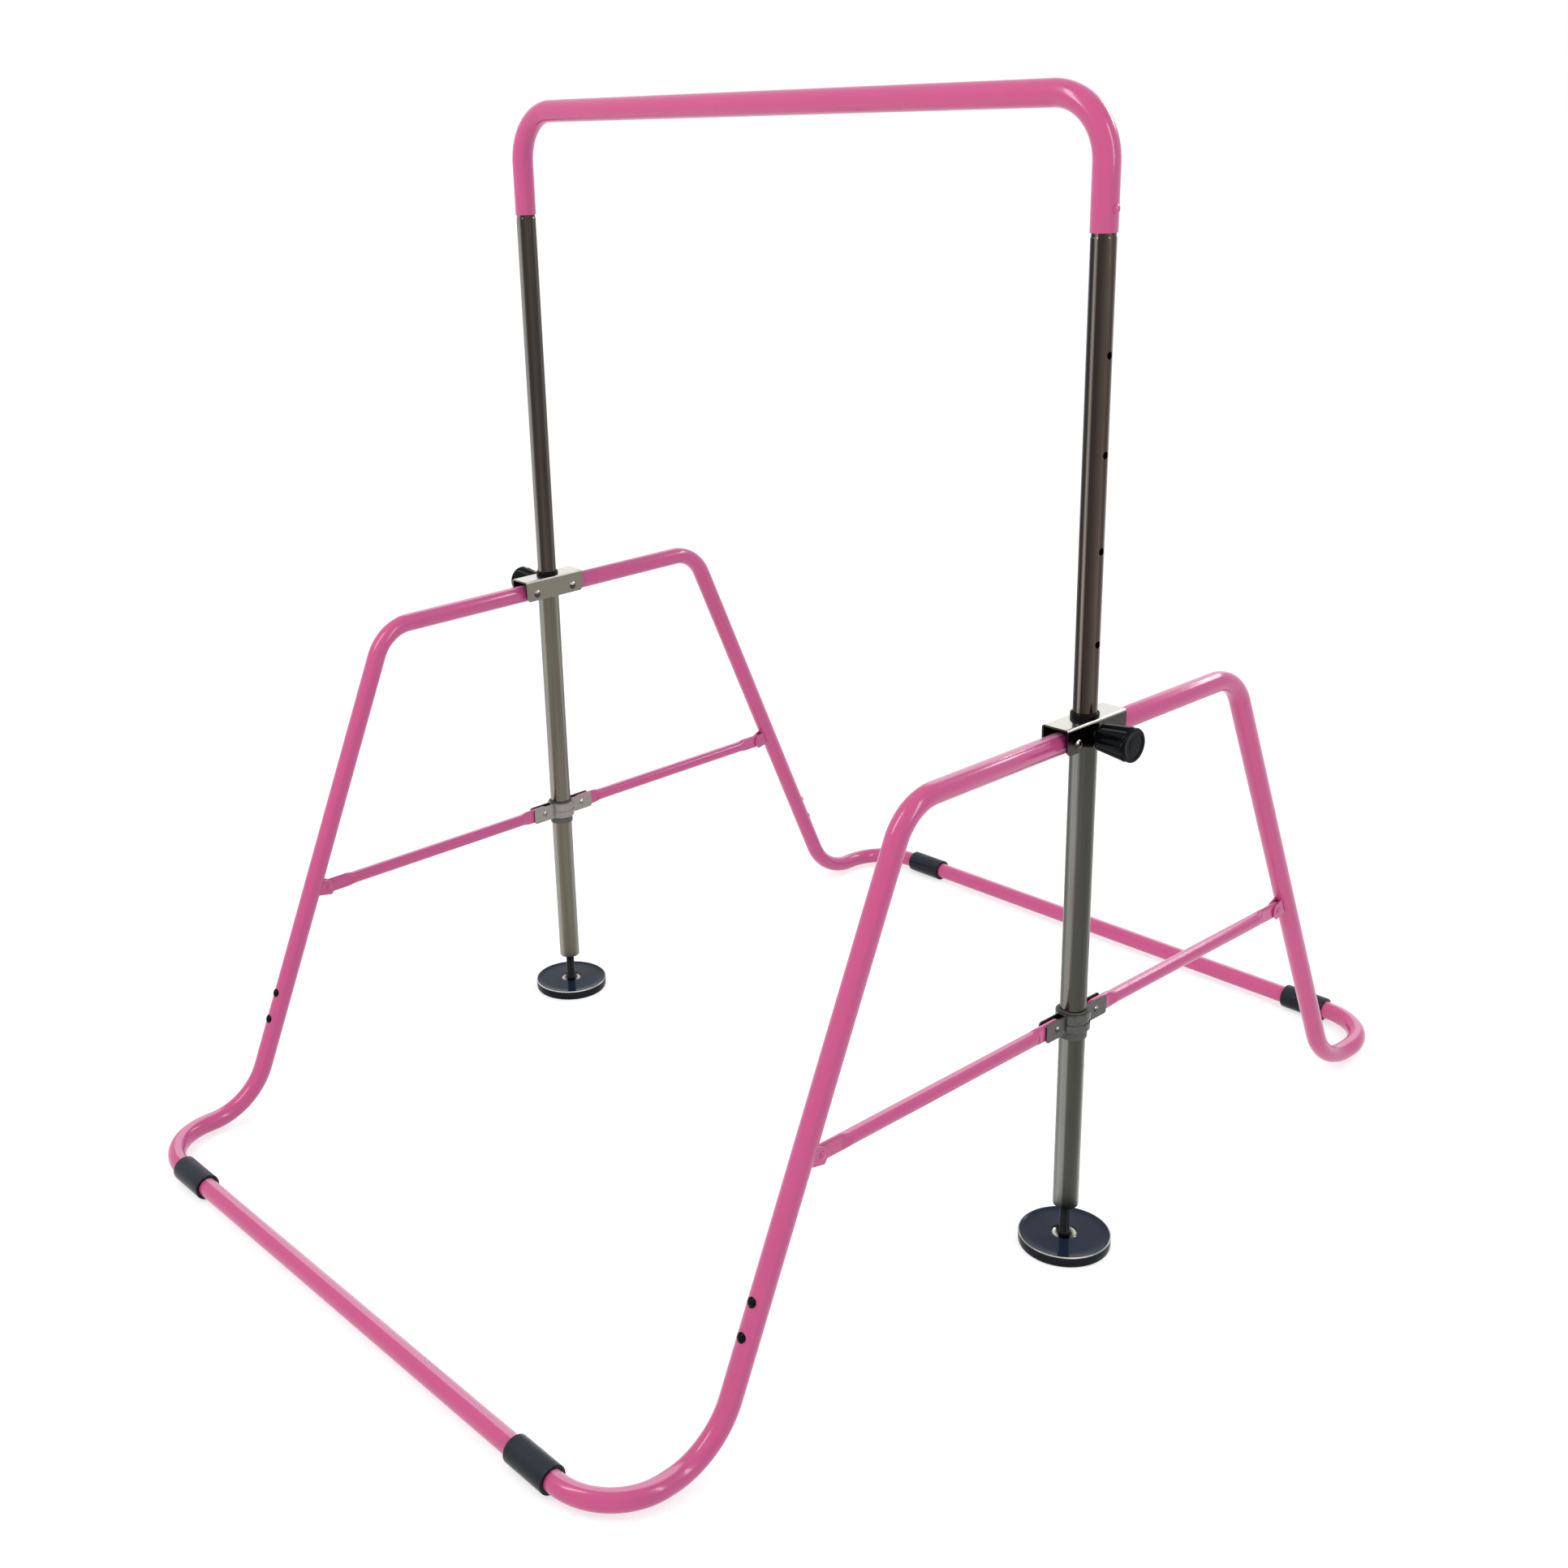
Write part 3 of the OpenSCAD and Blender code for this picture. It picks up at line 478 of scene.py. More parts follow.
def bent_path(corners, step=math.radians(3.0)):
    """Samples (point, direction, towards the bend's centre, how far into the bend) of a bent tube.
    corners is a list of (point, bend radius), with radius 0 at both ends."""
    points = [Vector(p) for p, _ in corners]
    samples = [(points[0], (points[1] - points[0]).normalized(), Vector(), 0.0)]
    for i in range(1, len(points) - 1):
        before = (points[i] - points[i - 1]).normalized()
        after = (points[i + 1] - points[i]).normalized()
        angle = before.angle(after)
        bend = corners[i][1]
        inward = (after - before * before.dot(after)).normalized()
        start = points[i] - before * bend * math.tan(angle / 2)
        centre = start + inward * bend
        count = max(6, round(angle / step))
        for k in range(count + 1):
            a = angle * k / count
            out = before * math.sin(a) - inward * math.cos(a)
            along = before * math.cos(a) + inward * math.sin(a)
            depth = smooth(min(k, count - k) / (count * 0.3))
            samples.append((centre + out * bend, along, -out, depth))
    samples.append((points[-1], (points[-1] - points[-2]).normalized(), Vector(), 0.0))
    return samples


def bent_tube(bm, corners, radius, wall, sides, flatten=0.03):
    """A hollow bent tube with rounded lips, a little flattened where it is bent."""
    samples = bent_path(corners)
    lip = 0.45 * MM
    frames = []
    _, u, w = basis(samples[0][1])
    last = samples[0][1]
    for point, along, inward, depth in samples:
        turn = last.rotation_difference(along)
        u = turn @ u
        u = (u - along * u.dot(along)).normalized()
        w = along.cross(u)
        frames.append((point, along, inward, depth, u.copy(), w.copy()))
        last = along

    def ring(entry, shift, r):
        point, along, inward, depth, u, w = entry
        side = along.cross(inward)
        verts = []
        for i in range(sides):
            a = 2 * math.pi * i / sides
            v = u * math.cos(a) + w * math.sin(a)
            if depth:
                v = v - inward * (v.dot(inward) * flatten * depth)
                v = v + side * (v.dot(side) * flatten * 0.4 * depth)
            verts.append(bm.verts.new(point + along * shift + v * r))
        return verts

    inner = radius - wall
    edge = [(0.0, radius - lip), (0.3 * lip, radius - 0.3 * lip), (lip, radius)]
    bore = [(0.0, inner + lip), (0.3 * lip, inner + 0.3 * lip), (lip, inner)]
    rings = [ring(frames[0], s, r) for s, r in edge]
    rings += [ring(f, 0.0, radius) for f in frames[1:-1]]
    rings += [ring(frames[-1], -s, r) for s, r in reversed(edge)]
    rings += [ring(frames[-1], -s, r) for s, r in bore]
    rings += [ring(f, 0.0, inner) for f in reversed(frames[1:-1])]
    rings += [ring(frames[0], s, r) for s, r in reversed(bore)]
    bridge(bm, rings, True)


def domed_head(at, r, h):
    """Profile of a domed head of radius r and height h, starting at a distance along the axis."""
    ball = (h * h + r * r) / (2 * h)
    span = math.asin(min(1.0, r / ball))
    points = [(at, r)]
    for i in range(1, 9):
        a = span * (1 - i / 8.3)
        points.append((at + h - ball + ball * math.cos(a), ball * math.sin(a)))
    return points


def bead(bm, points, r, seed):
    """A weld bead: a lumpy rod along points, tapering at both ends."""
    rand = random.Random(seed)
    rings = []
    count = len(points)
    for i, p in enumerate(points):
        along = (points[min(i + 1, count - 1)] - points[max(i - 1, 0)]).normalized()
        _, u, w = basis(along)
        swell = 1.0 + 0.16 * math.sin(i * 2.1) + rand.uniform(-0.08, 0.08)
        q = r * swell * (0.35 + 0.65 * smooth(min(i, count - 1 - i) / 3))
        rings.append([bm.verts.new(p + (u * math.cos(a) + w * math.sin(a)) * q)
                      for a in (2 * math.pi * k / 12 for k in range(12))])
    bridge(bm, rings, False)
    bm.faces.new(rings[0])
    bm.faces.new(rings[-1])


def soften(obj, width, limit=38.0):
    """Rounds the sharp edges of a CAD node with modifiers only. Flat faces are joined first, since
    their thin triangles would stop the bevel short."""
    weld = obj.modifiers.new("weld", "WELD")
    weld.merge_threshold = 0.00001
    flat = obj.modifiers.new("flat", "DECIMATE")
    flat.decimate_type = "DISSOLVE"
    flat.angle_limit = math.radians(1.0)
    bevel = obj.modifiers.new("bevel", "BEVEL")
    bevel.width = width
    bevel.segments = 2
    bevel.limit_method = "ANGLE"
    bevel.angle_limit = math.radians(limit)
    bevel.use_clamp_overlap = True
    normals = obj.modifiers.new("normals", "WEIGHTED_NORMAL")
    normals.mode = "FACE_AREA"
    normals.weight = 80


def at_post(side, y=0.0, z=0.0):
    return Vector((side * POST_X, y, z))


def past_post(node):
    """How far the near and far ends of a node lie outside its post's axis, along X."""
    near, far = sorted(abs(corner.x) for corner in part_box(node))
    return near - POST_X, far - POST_X


# ---------- grip bar ----------
def grip_bar():
    bm = bmesh.new()
    bent_tube(bm, [((-POST_X, 0, bar_lo.z), 0), ((-POST_X, 0, BAR_Z), BAR_BEND),
                   ((POST_X, 0, BAR_Z), BAR_BEND), ((POST_X, 0, bar_lo.z), 0)],
              BAR_R, TUBE_WALL, 64)
    make("grip_bar_tube", bm, "grip_bar")


def bar_bolts():
    """A domed bolt head on the outer side of each end of the bar."""
    lo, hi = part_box("bar_bolts")
    sunk, seat, dome = BAR_R - 7 * MM, BAR_R - 1.6 * MM, BAR_R + 0.8 * MM
    profile = [(sunk, 0.4 * MM), (sunk, 2.6 * MM), (seat, 2.9 * MM), (seat, 5.6 * MM),
               (BAR_R + 0.5 * MM, 5.75 * MM), (dome, 5.4 * MM)]
    profile += domed_head(dome, 4.9 * MM, hi.x - POST_X - dome)
    bm = bmesh.new()
    for side in (-1, 1):
        turned(bm, at_post(side, z=(lo.z + hi.z) / 2), (side, 0, 0), profile, 40, closed=False)
    make("bar_bolt_heads", bm, "bar_bolts")


# ---------- lower posts and guide rings ----------
def lower_post(name, side):
    lip = 0.4 * MM
    inner = LOWER_R - LOWER_POST_WALL
    bottom, top = post_lo.z, post_hi.z
    profile = [(bottom, inner + lip), (bottom, LOWER_R - lip),
               (bottom + 0.3 * lip, LOWER_R - 0.3 * lip),
               (bottom + lip, LOWER_R), (top, LOWER_R), (top, inner), (bottom + lip, inner),
               (bottom + 0.3 * lip, inner + 0.3 * lip)]
    bm = bmesh.new()
    turned(bm, at_post(side), (0, 0, 1), profile)
    make(f"{name}_lower_tube", bm, f"{name}_lower_post")


def guide_ring(name, side):
    """The black ring on top of the bracket, and its skirt inside the post."""
    lo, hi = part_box(f"{name}_guide_bush")
    seat, ring_r, skirt_r = bracket_hi.z, (hi.y - lo.y) / 2, GUIDE_BORE + 0.65 * MM
    crown = 2.5 * MM
    profile = [(lo.z, GUIDE_BORE), (lo.z, skirt_r), (seat, skirt_r),
               (seat, ring_r - 0.3 * MM), (seat + 0.3 * MM, ring_r), (seat + 2.8 * MM, ring_r),
               (seat + 3.2 * MM, ring_r - 0.4 * MM), (seat + 3.6 * MM, ring_r)]
    profile += arc((hi.z - crown, ring_r - crown), crown, 90, 0, 8)
    profile += [(hi.z, GUIDE_BORE + 0.8 * MM), (hi.z - 0.8 * MM, GUIDE_BORE)]
    bm = bmesh.new()
    turned(bm, at_post(side), (0, 0, 1), profile, 72)
    make(f"{name}_guide_ring", bm, f"{name}_guide_bush")


def bracket_welds(name, side):
    """Beads between the post and the bracket's two flanges."""
    half, steps = 8.5 * MM, 16
    bm = bmesh.new()
    for face in (-1, 1):
        points = []
        for i in range(steps + 1):
            y = half * (2 * i / steps - 1)
            out = math.sqrt(LOWER_R ** 2 - y ** 2) + 0.9 * MM
            points.append(at_post(side, y, bracket_lo.z - 0.2 * MM) + Vector((face * out, 0, 0)))
        bead(bm, points, 1.7 * MM, seed=40 + side + 2 * face)
    trim(f"{name}_bracket_welds", bm, f"{name}_bracket")


# ---------- rivets ----------
def hinge_rivets():
    """Domed heads on both flanges of the brackets, where the leg frames hang."""
    outer = bracket_hi.x - POST_X
    sunk, seat, dome = outer - 2.5 * MM, outer - 0.2 * MM, outer + 0.4 * MM
    profile = [(sunk, 0.3 * MM), (sunk, 4 * MM), (seat, 4 * MM), (seat, 6 * MM),
               (outer + 0.2 * MM, 6.25 * MM)]
    profile += domed_head(dome, 6.2 * MM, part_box("hinge_rivets")[1].x - POST_X - dome)
    bm = bmesh.new()
    for side in (-1, 1):
        for end in (-1, 1):
            for face in (-1, 1):
                turned(bm, at_post(side, end * HINGE_Y, HINGE_Z), (face, 0, 0), profile, 40,
                       closed=False)
    make("hinge_rivet_heads", bm, "hinge_rivets")


def double_rivet(bm, centre, half, head_r, head_h, shank):
    """A shank along X with a domed head at both ends."""
    right_half = [(half - 0.05 * MM, shank), (half - 0.05 * MM, head_r - 0.25 * MM),
                  (half + 0.25 * MM, head_r)]
    right_half += domed_head(half + 0.3 * MM, head_r - 0.05 * MM, head_h - 0.3 * MM)
    left_half = [(-along, r) for along, r in reversed(right_half)]
    turned(bm, centre, (1, 0, 0), left_half + right_half, 36, closed=False)


def brace_rivets(name, end):
    """The rivets through the tabs on the legs of one frame."""
    reach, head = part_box(f"{name}_tab_rivets")[1].x - POST_X, 2.8 * MM
    bm = bmesh.new()
    for side in (-1, 1):
        double_rivet(bm, at_post(side, end * TAB_PIVOT, BRACE_Z), reach - head, 5.5 * MM, head,
                     3 * MM)
    make(f"{name}_brace_rivets", bm, f"{name}_tab_rivets")


def ear_rivets(name, side):
    """The rivets through the ears of one collar."""
    lo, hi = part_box(f"{name}_collar_rivets")
    head = 2 * MM
    bm = bmesh.new()
    for end in (-1, 1):
        double_rivet(bm, at_post(side, end * COLLAR_PIVOT, BRACE_Z), (hi.x - lo.x) / 2 - head,
                     4.5 * MM, head, 3 * MM)
    make(f"{name}_ear_rivets", bm, f"{name}_collar_rivets")


# ---------- knobs and the springs behind them ----------
def fluted(flutes, depth, flute_r):
    """Radius of a knob with smooth scallops cut along it, fading at both ends of the body."""
    def radius(a, along, r):
        if r < 12 * MM:
            return r
        phase = (a * flutes / (2 * math.pi)) % 1.0 - 0.5
        angle = phase * 2 * math.pi / flutes
        far = r + flute_r - depth
        root = flute_r ** 2 - (far * math.sin(angle)) ** 2
        if root <= 0:
            return r
        cut = far * math.cos(angle) - math.sqrt(root)
        k = 0.7 * MM
        h = min(max(0.5 + 0.5 * (r - cut) / k, 0.0), 1.0)
        return r + (cut - r) * h - k * h * (1 - h)
    return radius


def knob_body(name, side):
    """A cone that widens outwards, scalloped, with a socket for the plunger's barrel."""
    near, far = past_post(f"{name}_lock_knob")
    socket_end, bolt_r, steps = near + 28 * MM, 4.4 * MM, 10
    profile = [(near, KNOB_SOCKET_R + 0.6 * MM), (near, KNOB_START_R - 3.2 * MM),
               (near + 0.5 * MM, KNOB_START_R - 1.6 * MM),
               (near + 1.8 * MM, KNOB_START_R - 0.5 * MM)]
    for i in range(steps + 1):
        t = 0.1 + 0.8 * i / steps
        profile.append((near + (far - near) * t, KNOB_START_R + (KNOB_END_R - KNOB_START_R) * t))
    profile += [(far - 1.9 * MM, KNOB_END_R - 0.35 * MM), (far - 0.8 * MM, KNOB_END_R - 0.8 * MM),
                (far, KNOB_END_R - 2.2 * MM), (far, bolt_r), (socket_end, bolt_r),
                (socket_end, KNOB_SOCKET_R), (near + 0.6 * MM, KNOB_SOCKET_R)]
    bm = bmesh.new()
    turned(bm, at_post(side, z=PIN_Z), (side, 0, 0), profile, 160,
           radius=fluted(8, 1.9 * MM, 9 * MM))
    make(f"{name}_knob_body", bm, f"{name}_lock_knob", sharp=50)


def knob_end(name, side):
    """The cap on the knob's outer end, with a shallow ring moulded in it."""
    start = past_post(f"{name}_lock_knob")[1]
    far = past_post(f"{name}_knob_cap")[1]
    cap_r, edge = 21.5 * MM, 1.5 * MM
    profile = [(start, 0.4 * MM), (start, cap_r - 0.3 * MM), (start + 0.3 * MM, cap_r)]
    profile += arc((far - edge, cap_r - edge), edge, 90, 0, 6)
    profile += [(far, 16.9 * MM), (far - 0.25 * MM, 16.3 * MM), (far - 1.0 * MM, 16.0 * MM),
                (far - 1.0 * MM, 10.4 * MM), (far - 0.55 * MM, 10.0 * MM),
                (far - 0.45 * MM, 9.2 * MM), (far - 0.9 * MM, 8.7 * MM),
                (far - 0.75 * MM, 4.0 * MM), (far - 0.7 * MM, 0.4 * MM)]
    bm = bmesh.new()
    turned(bm, at_post(side, z=PIN_Z), (side, 0, 0), profile, 96, closed=False)
    make(f"{name}_knob_end", bm, f"{name}_knob_cap")


def coil(bm, near, far, r, wire, turns, side):
    """A round-wire coil along X between two distances from the post, closed at its ends."""
    steps = 36 * turns
    rings = []
    for i in range(steps + 1):
        a = 2 * math.pi * turns * i / steps
        rise = near + wire + (far - near - 2 * wire) * i / steps
        out = Vector((0, math.cos(a), math.sin(a)))
        centre = at_post(side, z=PIN_Z) + Vector((side * rise, 0, 0)) + out * r
        ring = []
        for k in range(10):
            b = 2 * math.pi * k / 10
            offset = out * math.cos(b) + Vector((1, 0, 0)) * math.sin(b)
            ring.append(bm.verts.new(centre + offset * wire))
        rings.append(ring)
    bridge(bm, rings, False)
    bm.faces.new(rings[0])
    bm.faces.new(rings[-1])


def coil_spring(name, side):
    """A round-wire coil of four turns, filling the CAD spring's space along X."""
    lo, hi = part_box(f"{name}_pin_spring")
    near, far = past_post(f"{name}_pin_spring")
    wire = 0.6 * MM
    bm = bmesh.new()
    coil(bm, near, far, (hi.y - lo.y) / 2 - wire, wire, 4, side)
    spring = make(f"{name}_coil_spring", bm, f"{name}_pin_spring", sharp=60)
    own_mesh(spring)


# ---------- leg frames ----------
def leg(end_name, end, side_name, side):
    """One bent tube: stub in the bracket, leg, foot and half a side of the floor frame."""
    node = f"{end_name}_{side_name}_leg"
    x, joint_x = side * POST_X, side * leg_lo.x
    stub_y = min(abs(corner.y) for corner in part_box(node))
    bm = bmesh.new()
    bent_tube(bm, [((x, end * stub_y, HINGE_Z), 0), ((x, end * LEG_TOP_Y, HINGE_Z), TOP_BEND),
                   ((x, end * LEG_FOOT_Y, FLOOR_Z), FOOT_BEND),
                   ((x, end * CROSS_Y, FLOOR_Z), CORNER_BEND),
                   ((joint_x, end * CROSS_Y, FLOOR_Z), 0)],
              LEG_R, TUBE_WALL, 56)
    make(f"{node}_tube", bm, node)


def crossbar(name, end):
    """The bar on the floor, necked at both ends to enter the legs."""
    tip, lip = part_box(f"{name}_crossbar")[1].x, 0.4 * MM
    half = [(CROSSBAR_HALF - lip, LEG_R), (CROSSBAR_HALF, LEG_R - lip),
            (CROSSBAR_HALF, CROSSBAR_NECK_R), (tip - lip, CROSSBAR_NECK_R),
            (tip, CROSSBAR_NECK_R - lip), (tip, CROSSBAR_NECK_R - 3 * MM)]
    bm = bmesh.new()
    turned(bm, (0, end * CROSS_Y, FLOOR_Z), (1, 0, 0), [(-a, r) for a, r in reversed(half)] + half,
           56)
    make(f"{name}_crossbar_tube", bm, f"{name}_crossbar")


def sleeves(name, end):
    """The two black sleeves over the crossbar's joints with the legs."""
    lo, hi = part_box(f"{name}_sleeves")
    outer_r, inner_r = (hi.z - lo.z) / 2, LEG_R + 0.1 * MM
    edge, ease = 1.5 * MM, 0.7 * MM
    profile = arc((edge, outer_r - edge), edge, 180, 90, 6)
    profile += [(SLEEVE_LENGTH * t, outer_r) for t in (0.2, 0.5, 0.8)]
    profile += arc((SLEEVE_LENGTH - edge, outer_r - edge), edge, 90, 0, 6)
    profile += [(SLEEVE_LENGTH, inner_r + ease), (SLEEVE_LENGTH - ease, inner_r),
                (ease, inner_r), (0.0, inner_r + ease)]
    bm = bmesh.new()
    for side in (-1, 1):
        turned(bm, (side * (hi.x - SLEEVE_LENGTH), end * CROSS_Y, FLOOR_Z), (side, 0, 0), profile,
               72)
    make(f"{name}_sleeve_tubes", bm, f"{name}_sleeves")


def leg_plugs(name, end):
    """Two domed plugs in the outer face of each leg."""
    out = Vector((0, end * math.cos(LEG_TILT), math.sin(LEG_TILT)))
    sunk, seat = LEG_R - 4 * MM, LEG_R - 2 * MM
    profile = [(sunk, 0.3 * MM), (sunk, 4.95 * MM), (seat, 4.95 * MM), (seat, 6.3 * MM),
               (LEG_R + 0.1 * MM, 6.5 * MM), (LEG_R + 0.35 * MM, 6.3 * MM)]
    profile += domed_head(LEG_R + 0.4 * MM, 5.9 * MM, 2.4 * MM)
    bm = bmesh.new()
    for side in (-1, 1):
        for z in PLUG_HEIGHTS:
            turned(bm, at_post(side, end * leg_y(z), z), out, profile, 40, closed=False)
    make(f"{name}_plug_domes", bm, f"{name}_leg_plugs")


# ---------- braces ----------
def oval(bm, x, y, z, thick, tall, squash_z=1.0, sides=48):
    """A ring of a squeezed tube: a circle pulled out along Z into a slot with crowned faces."""
    ring = []
    for i in range(sides):
        a = 2 * math.pi * i / sides
        s = math.sin(a)
        pull = max(-1.0, min(1.0, s * 2.4))
        pull = pull * (1.5 - 0.5 * pull * pull)
        up = (thick / 2 * s + (tall - thick) / 2 * pull) * squash_z
        ring.append(bm.verts.new((x + thick / 2 * math.cos(a), y, z + up)))
    return ring


def brace_rings(bm, x, end):
    """Rings from the rounded end in the collar to the rounded end in the tab."""
    rings = []

    def add(y, thick, tall, squash_z=1.0):
        rings.append(oval(bm, x, end * y, BRACE_Z, thick, tall, squash_z))

    thick, tall, flat = COLLAR_END
    for i in range(9):
        a = math.radians(4 + 86 * i / 8)
        add(COLLAR_PIVOT - tall / 2 * math.cos(a), thick, tall, math.sin(a))
    for i in range(9):
        t = smooth(i / 8)
        y = COLLAR_PIVOT + flat + SQUEEZE * i / 8
        add(y, thick + (BRACE_D - thick) * t, tall + (BRACE_D - tall) * t)
    thick, tall, flat = TAB_END
    for i in range(13):
        t = smooth(1 - i / 12)
        y = TAB_PIVOT - flat - SQUEEZE * (1 - i / 12)
        add(y, thick + (BRACE_D - thick) * t, tall + (BRACE_D - tall) * t)
    for i in range(9):
        a = math.radians(90 + 86 * i / 8)
        add(TAB_PIVOT - tall / 2 * math.cos(a), thick, tall, math.sin(a))
    return rings


def brace(end_name, end, side_name, side):
    node = f"{end_name}_{side_name}_brace"
    bm = bmesh.new()
    rings = brace_rings(bm, side * POST_X, end)
    bridge(bm, rings, False)
    bm.faces.new(rings[0])
    bm.faces.new(rings[-1])
    make(f"{node}_tube", bm, node, sharp=50)


def tab_welds(name, end):
    """Beads between the tabs' cheeks and the legs."""
    cheek, low, length, steps = 7 * MM, -4 * MM, 22 * MM, 14
    inward = Vector((0, -end * math.cos(LEG_TILT), -math.sin(LEG_TILT)))
    deep = math.sqrt(LEG_R ** 2 - cheek ** 2)
    bm = bmesh.new()
    for side in (-1, 1):
        for face in (-1, 1):
            points = []
            for i in range(steps + 1):
                z = BRACE_Z + low + length * i / steps
                centre = Vector((side * POST_X + face * cheek, end * leg_y(z), z))
                points.append(centre + inward * deep)
            bead(bm, points, 1.5 * MM, seed=11 + side + 2 * face + 5 * end)
    trim(f"{name}_tab_welds", bm, f"{name}_tabs")


# ---------- feet ----------
def thread(a, along, r):
    """Radius of the stud, with a thread cut between two heights that fades in at the lower one."""
    if r < STUD_R - 0.01 * MM or not THREAD_LOW < along < THREAD_HIGH:
        return r
    phase = (along / THREAD_PITCH - a / (2 * math.pi)) % 1.0
    fade = smooth((along - THREAD_LOW) / (2 * MM))
    return r - THREAD_DEPTH * fade * abs(2 * phase - 1) ** 1.2


def foot_stud(name, side):
    """A threaded stud on a flat round flange."""
    lo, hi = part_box(f"{name}_foot_stud")
    flange_top, length = lo.z + 4 * MM, THREAD_HIGH - THREAD_LOW
    rows = int(length / (THREAD_PITCH / 6))
    profile = [(lo.z, 0.4 * MM), (lo.z, 11.3 * MM), (lo.z + 0.3 * MM, 11.5 * MM),
               (flange_top, 11.5 * MM), (flange_top, STUD_R), (THREAD_LOW, STUD_R)]
    profile += [(THREAD_LOW + length * (i + 0.5) / rows, STUD_R) for i in range(rows)]
    profile += [(THREAD_HIGH, STUD_R - 0.3 * MM), (hi.z - 1 * MM, STUD_R - 0.3 * MM),
                (hi.z, STUD_R - 1.2 * MM), (hi.z, 0.4 * MM)]
    bm = bmesh.new()
    turned(bm, at_post(side), (0, 0, 1), profile, 36, closed=False, radius=thread)
    make(f"{name}_threaded_stud", bm, f"{name}_foot_stud", sharp=60)


def pad_ring(name, side):
    """The dished steel ring that holds the stud's flange in the pad."""
    lo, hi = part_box(f"{name}_foot_ring")
    ring_r, bore, edge = (hi.y - lo.y) / 2, 7.5 * MM, 0.7 * MM
    profile = [(lo.z, bore), (lo.z, ring_r)]
    profile += arc((hi.z - edge, ring_r - edge), edge, 90, 0, 5)
    profile += [(hi.z, 15.8 * MM), (hi.z - 0.2 * MM, 15.2 * MM), (hi.z - 1.7 * MM, 9.4 * MM),
                (hi.z - 1.75 * MM, bore)]
    bm = bmesh.new()
    turned(bm, at_post(side), (0, 0, 1), profile, 72)
    ring = make(f"{name}_pad_ring", bm, f"{name}_foot_ring")
    # the ring's material paints glints on two sides
    ring.data.materials[0] = PAD_RING_GLINTS


def pad(name, side):
    """The round pad, hollowed for the stud's flange and its ring, with a painted highlight on its
    top edge.
    """
    ring_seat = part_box(f"{name}_foot_ring")[0].z
    top, edge, foot, seat_r = pad_hi.z, 1.5 * MM, 3 * MM, 17 * MM
    pocket, pocket_r, recess = 3 * MM, 12 * MM, 0.6 * MM
    groove = top - edge
    profile = [(recess, 0.4 * MM), (recess, pocket_r), (0.0, 14 * MM), (0.0, PAD_R - 3.4 * MM)]
    profile += arc((foot, PAD_R - foot), foot, 180, 90, 6)
    profile += [(groove - 1.4 * MM, PAD_R), (groove - 0.9 * MM, PAD_R - 0.35 * MM),
                (groove - 0.4 * MM, PAD_R)]
    profile += arc((groove, PAD_R - edge), edge, 90, 0, 8)
    profile += [(top, PAD_R - edge - 1.6 * MM), (top - 0.5 * MM, PAD_R - edge - 2.4 * MM),
                (top - 0.6 * MM, PAD_R - 14 * MM), (top - 0.3 * MM, 26 * MM), (top, 21 * MM),
                (top, seat_r + 0.6 * MM), (top - 0.6 * MM, seat_r), (ring_seat, seat_r),
                (ring_seat, pocket_r), (pocket, pocket_r), (pocket, 0.4 * MM)]
    bm = bmesh.new()
    turned(bm, at_post(side), (0, 0, 1), profile, 128, closed=False)
    disc = make(f"{name}_pad_disc", bm, f"{name}_foot_pad")
    disc.data.materials.append(PAD_RIM_HIGHLIGHT)
    # the top edge's faces take the painted rim highlight
    for face in disc.data.polygons:
        out = (face.center - at_post(side)).to_2d().length
        if out > PAD_R - edge and face.center.z > top - 0.75 * edge:
            face.material_index = 1


# ---------- the whole object ----------
grip_bar()
bar_bolts()
for name, side in SIDES.items():
    lower_post(name, side)
    guide_ring(name, side)
    bracket_welds(name, side)
hinge_rivets()
for name, end in ENDS.items():
    brace_rivets(name, end)
for name, side in SIDES.items():
    ear_rivets(name, side)
for name, side in SIDES.items():
    knob_body(name, side)
    knob_end(name, side)
for name, side in SIDES.items():
    coil_spring(name, side)
for end_name, end in ENDS.items():
    for side_name, side in SIDES.items():
        leg(end_name, end, side_name, side)
    crossbar(end_name, end)
    sleeves(end_name, end)
    leg_plugs(end_name, end)
for end_name, end in ENDS.items():
    for side_name, side in SIDES.items():
        brace(end_name, end, side_name, side)
    tab_welds(end_name, end)
for name, side in SIDES.items():
    foot_stud(name, side)
    pad_ring(name, side)
    pad(name, side)

# CAD nodes that stay, with their edges eased
for name in SIDES:
    soften(NODES[f"{name}_bracket"], 0.5 * MM)
    soften(NODES[f"{name}_collar_outer"], 0.4 * MM)
    soften(NODES[f"{name}_collar_inner"], 0.4 * MM)
for name in ENDS:
    soften(NODES[f"{name}_tabs"], 0.4 * MM)

# ---------- floor, light and camera ----------
def white_floor():
    """A faintly shining floor that lets half the light through. Folded, the leg frames reach lower
    than the feet."""
    mat = bpy.data.materials.new("floor")
    mat.use_nodes = True
    shader = mat.node_tree.nodes["Principled BSDF"]
    shader.inputs["Base Color"].default_value = (0.86, 0.86, 0.86, 1.0)
    shader.inputs["Roughness"].default_value = 0.9
    shader.inputs["Emission Color"].default_value = (1.0, 1.0, 1.0, 1.0)
    shader.inputs["Emission Strength"].default_value = 0.22
    shader.inputs["Alpha"].default_value = 0.5
    bpy.ops.mesh.primitive_plane_add(size=80.0, location=(0.0, 0.0, -0.5 * MM))
    floor = bpy.context.object
    floor.name = "floor"
    floor.data.materials.append(mat)
    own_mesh(floor)


white_floor()

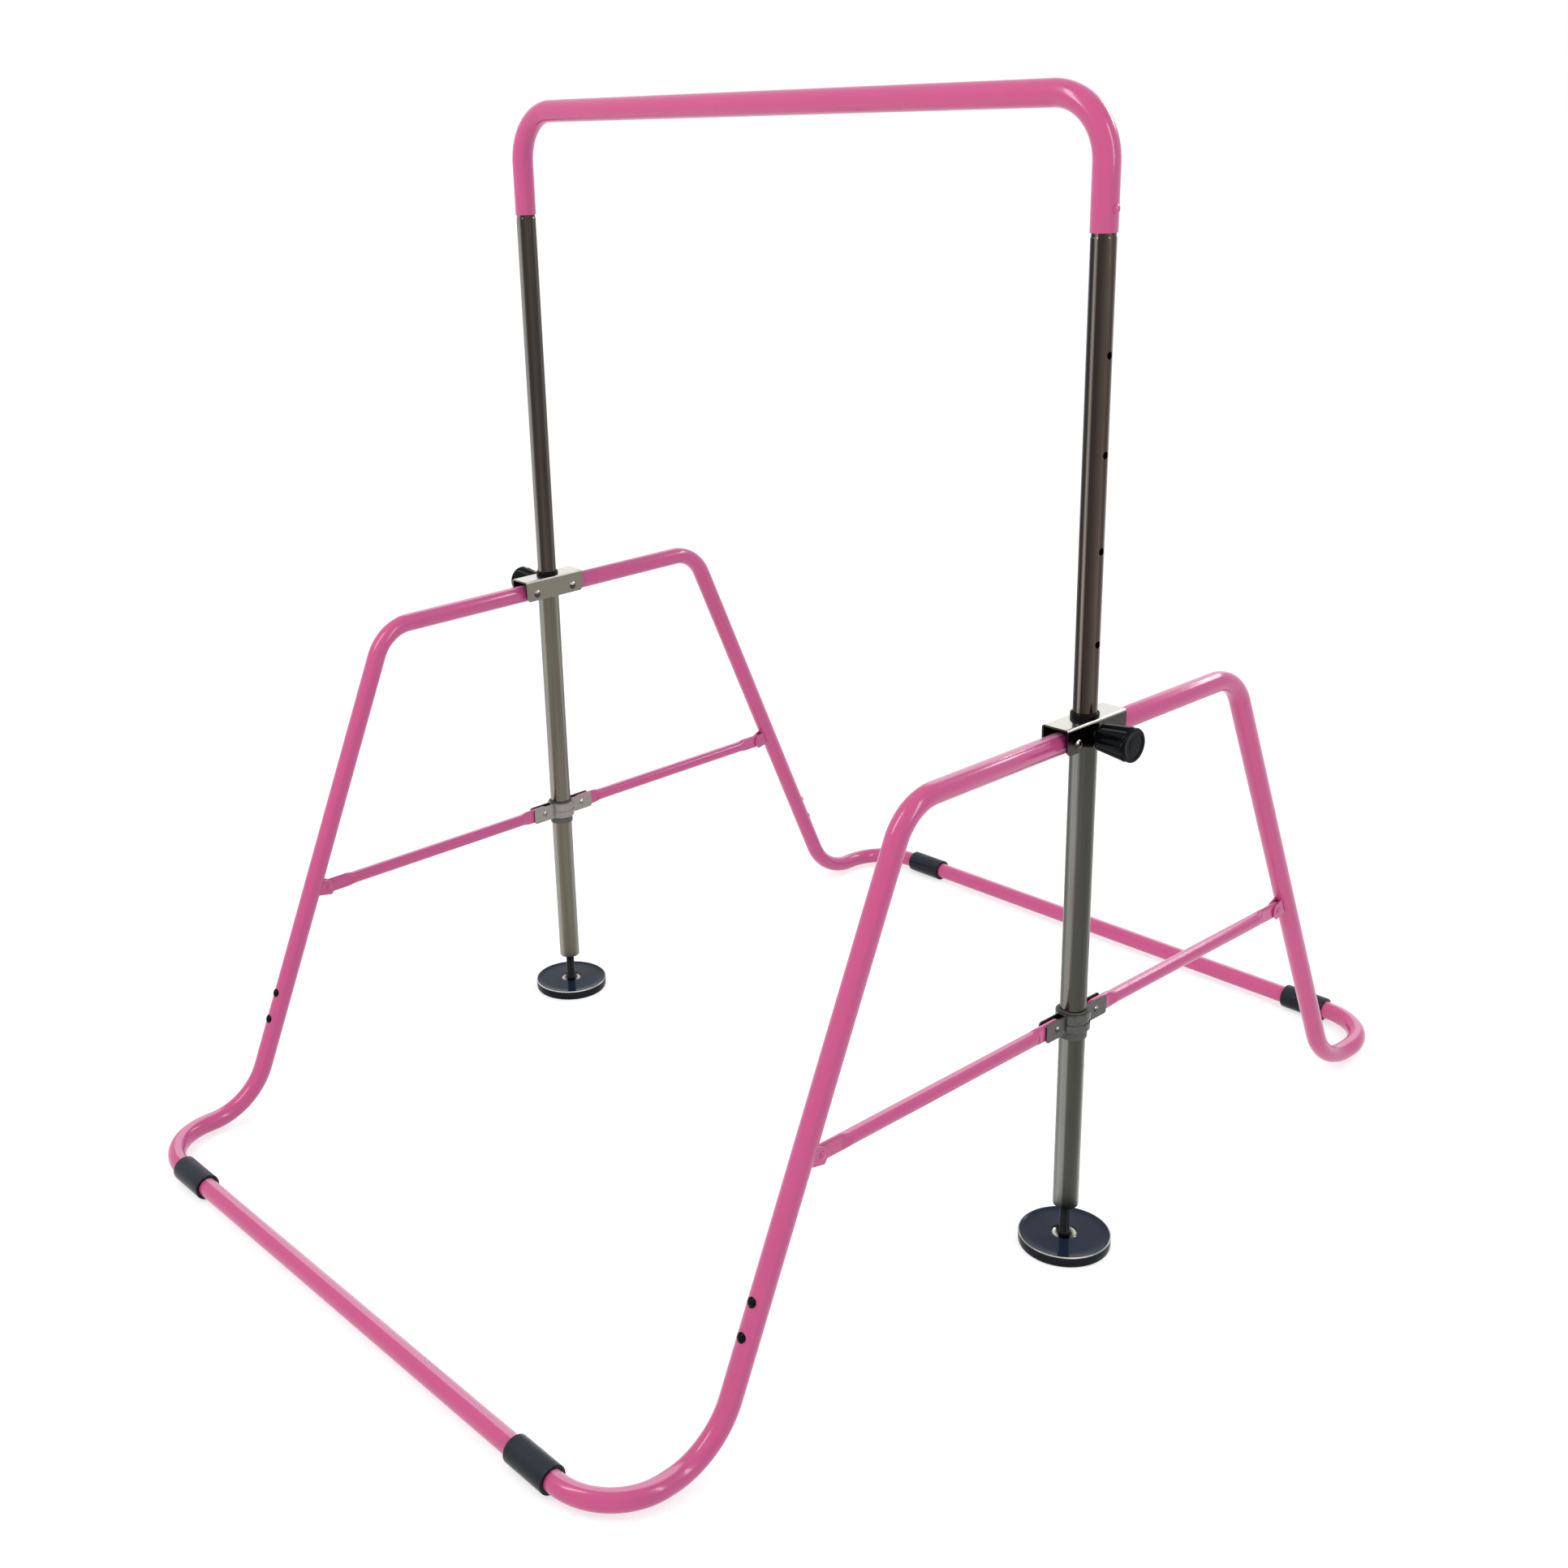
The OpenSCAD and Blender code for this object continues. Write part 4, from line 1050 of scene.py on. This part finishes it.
world = bpy.data.worlds.new("studio")
bpy.context.scene.world = world
world.use_nodes = True
backdrop = world.node_tree.nodes["Background"]
backdrop.inputs["Color"].default_value = (1.0, 1.0, 1.0, 1.0)
backdrop.inputs["Strength"].default_value = 1.0
bpy.context.scene.view_settings.view_transform = "Standard"


def area_light(name, place, look_at, size, power):
    """A rectangular lamp that points at a place and isn't seen itself."""
    data = bpy.data.lights.new(name, "AREA")
    data.shape = "RECTANGLE"
    data.size, data.size_y = size
    data.energy = power
    obj = bpy.data.objects.new(name, data)
    bpy.context.collection.objects.link(obj)
    obj.location = place
    obj.rotation_mode = "QUATERNION"
    obj.rotation_quaternion = (Vector(look_at) - Vector(place)).to_track_quat("-Z", "Y")
    obj.visible_camera = False


area_light("key", (-0.6, -2.4, 3.2), (0.0, 0.0, 0.6), (0.5, 2.0), 42.0)
area_light("side", (3.0, 0.2, 2.2), (0.3, 0.0, 0.6), (0.35, 2.2), 26.0)
area_light("rim", (0.6, 2.8, 2.6), (0.2, 0.0, 0.7), (1.6, 0.4), 26.0)

# the camera's place, and its turn to the left of the rear, downwards and about its own axis,
# fitted to the straight edges of the object
CAMERA_PLACE = (1.8543, -1.7968, 1.5089)
yaw, pitch, roll = math.radians(51.2507), math.radians(19.2717), math.radians(-2.7964)
forward = Vector((-math.sin(yaw) * math.cos(pitch), math.cos(yaw) * math.cos(pitch),
                  -math.sin(pitch)))
level = Vector((math.cos(yaw), math.sin(yaw), 0.0))
upright = level.cross(forward)
right = math.cos(roll) * level + math.sin(roll) * upright
up = math.cos(roll) * upright - math.sin(roll) * level
cam_data = bpy.data.cameras.new("camera")
cam_data.sensor_width = 36.0
cam_data.lens = 42.576
cam_data.shift_x = 0.10836
cam_data.shift_y = -0.0293
cam_data.clip_start, cam_data.clip_end = 0.05, 200.0
camera = bpy.data.objects.new("camera", cam_data)
bpy.context.collection.objects.link(camera)
camera.matrix_world = Matrix((
    (right.x, up.x, -forward.x, CAMERA_PLACE[0]),
    (right.y, up.y, -forward.y, CAMERA_PLACE[1]),
    (right.z, up.z, -forward.z, CAMERA_PLACE[2]),
    (0.0, 0.0, 0.0, 1.0),
))
bpy.context.scene.camera = camera
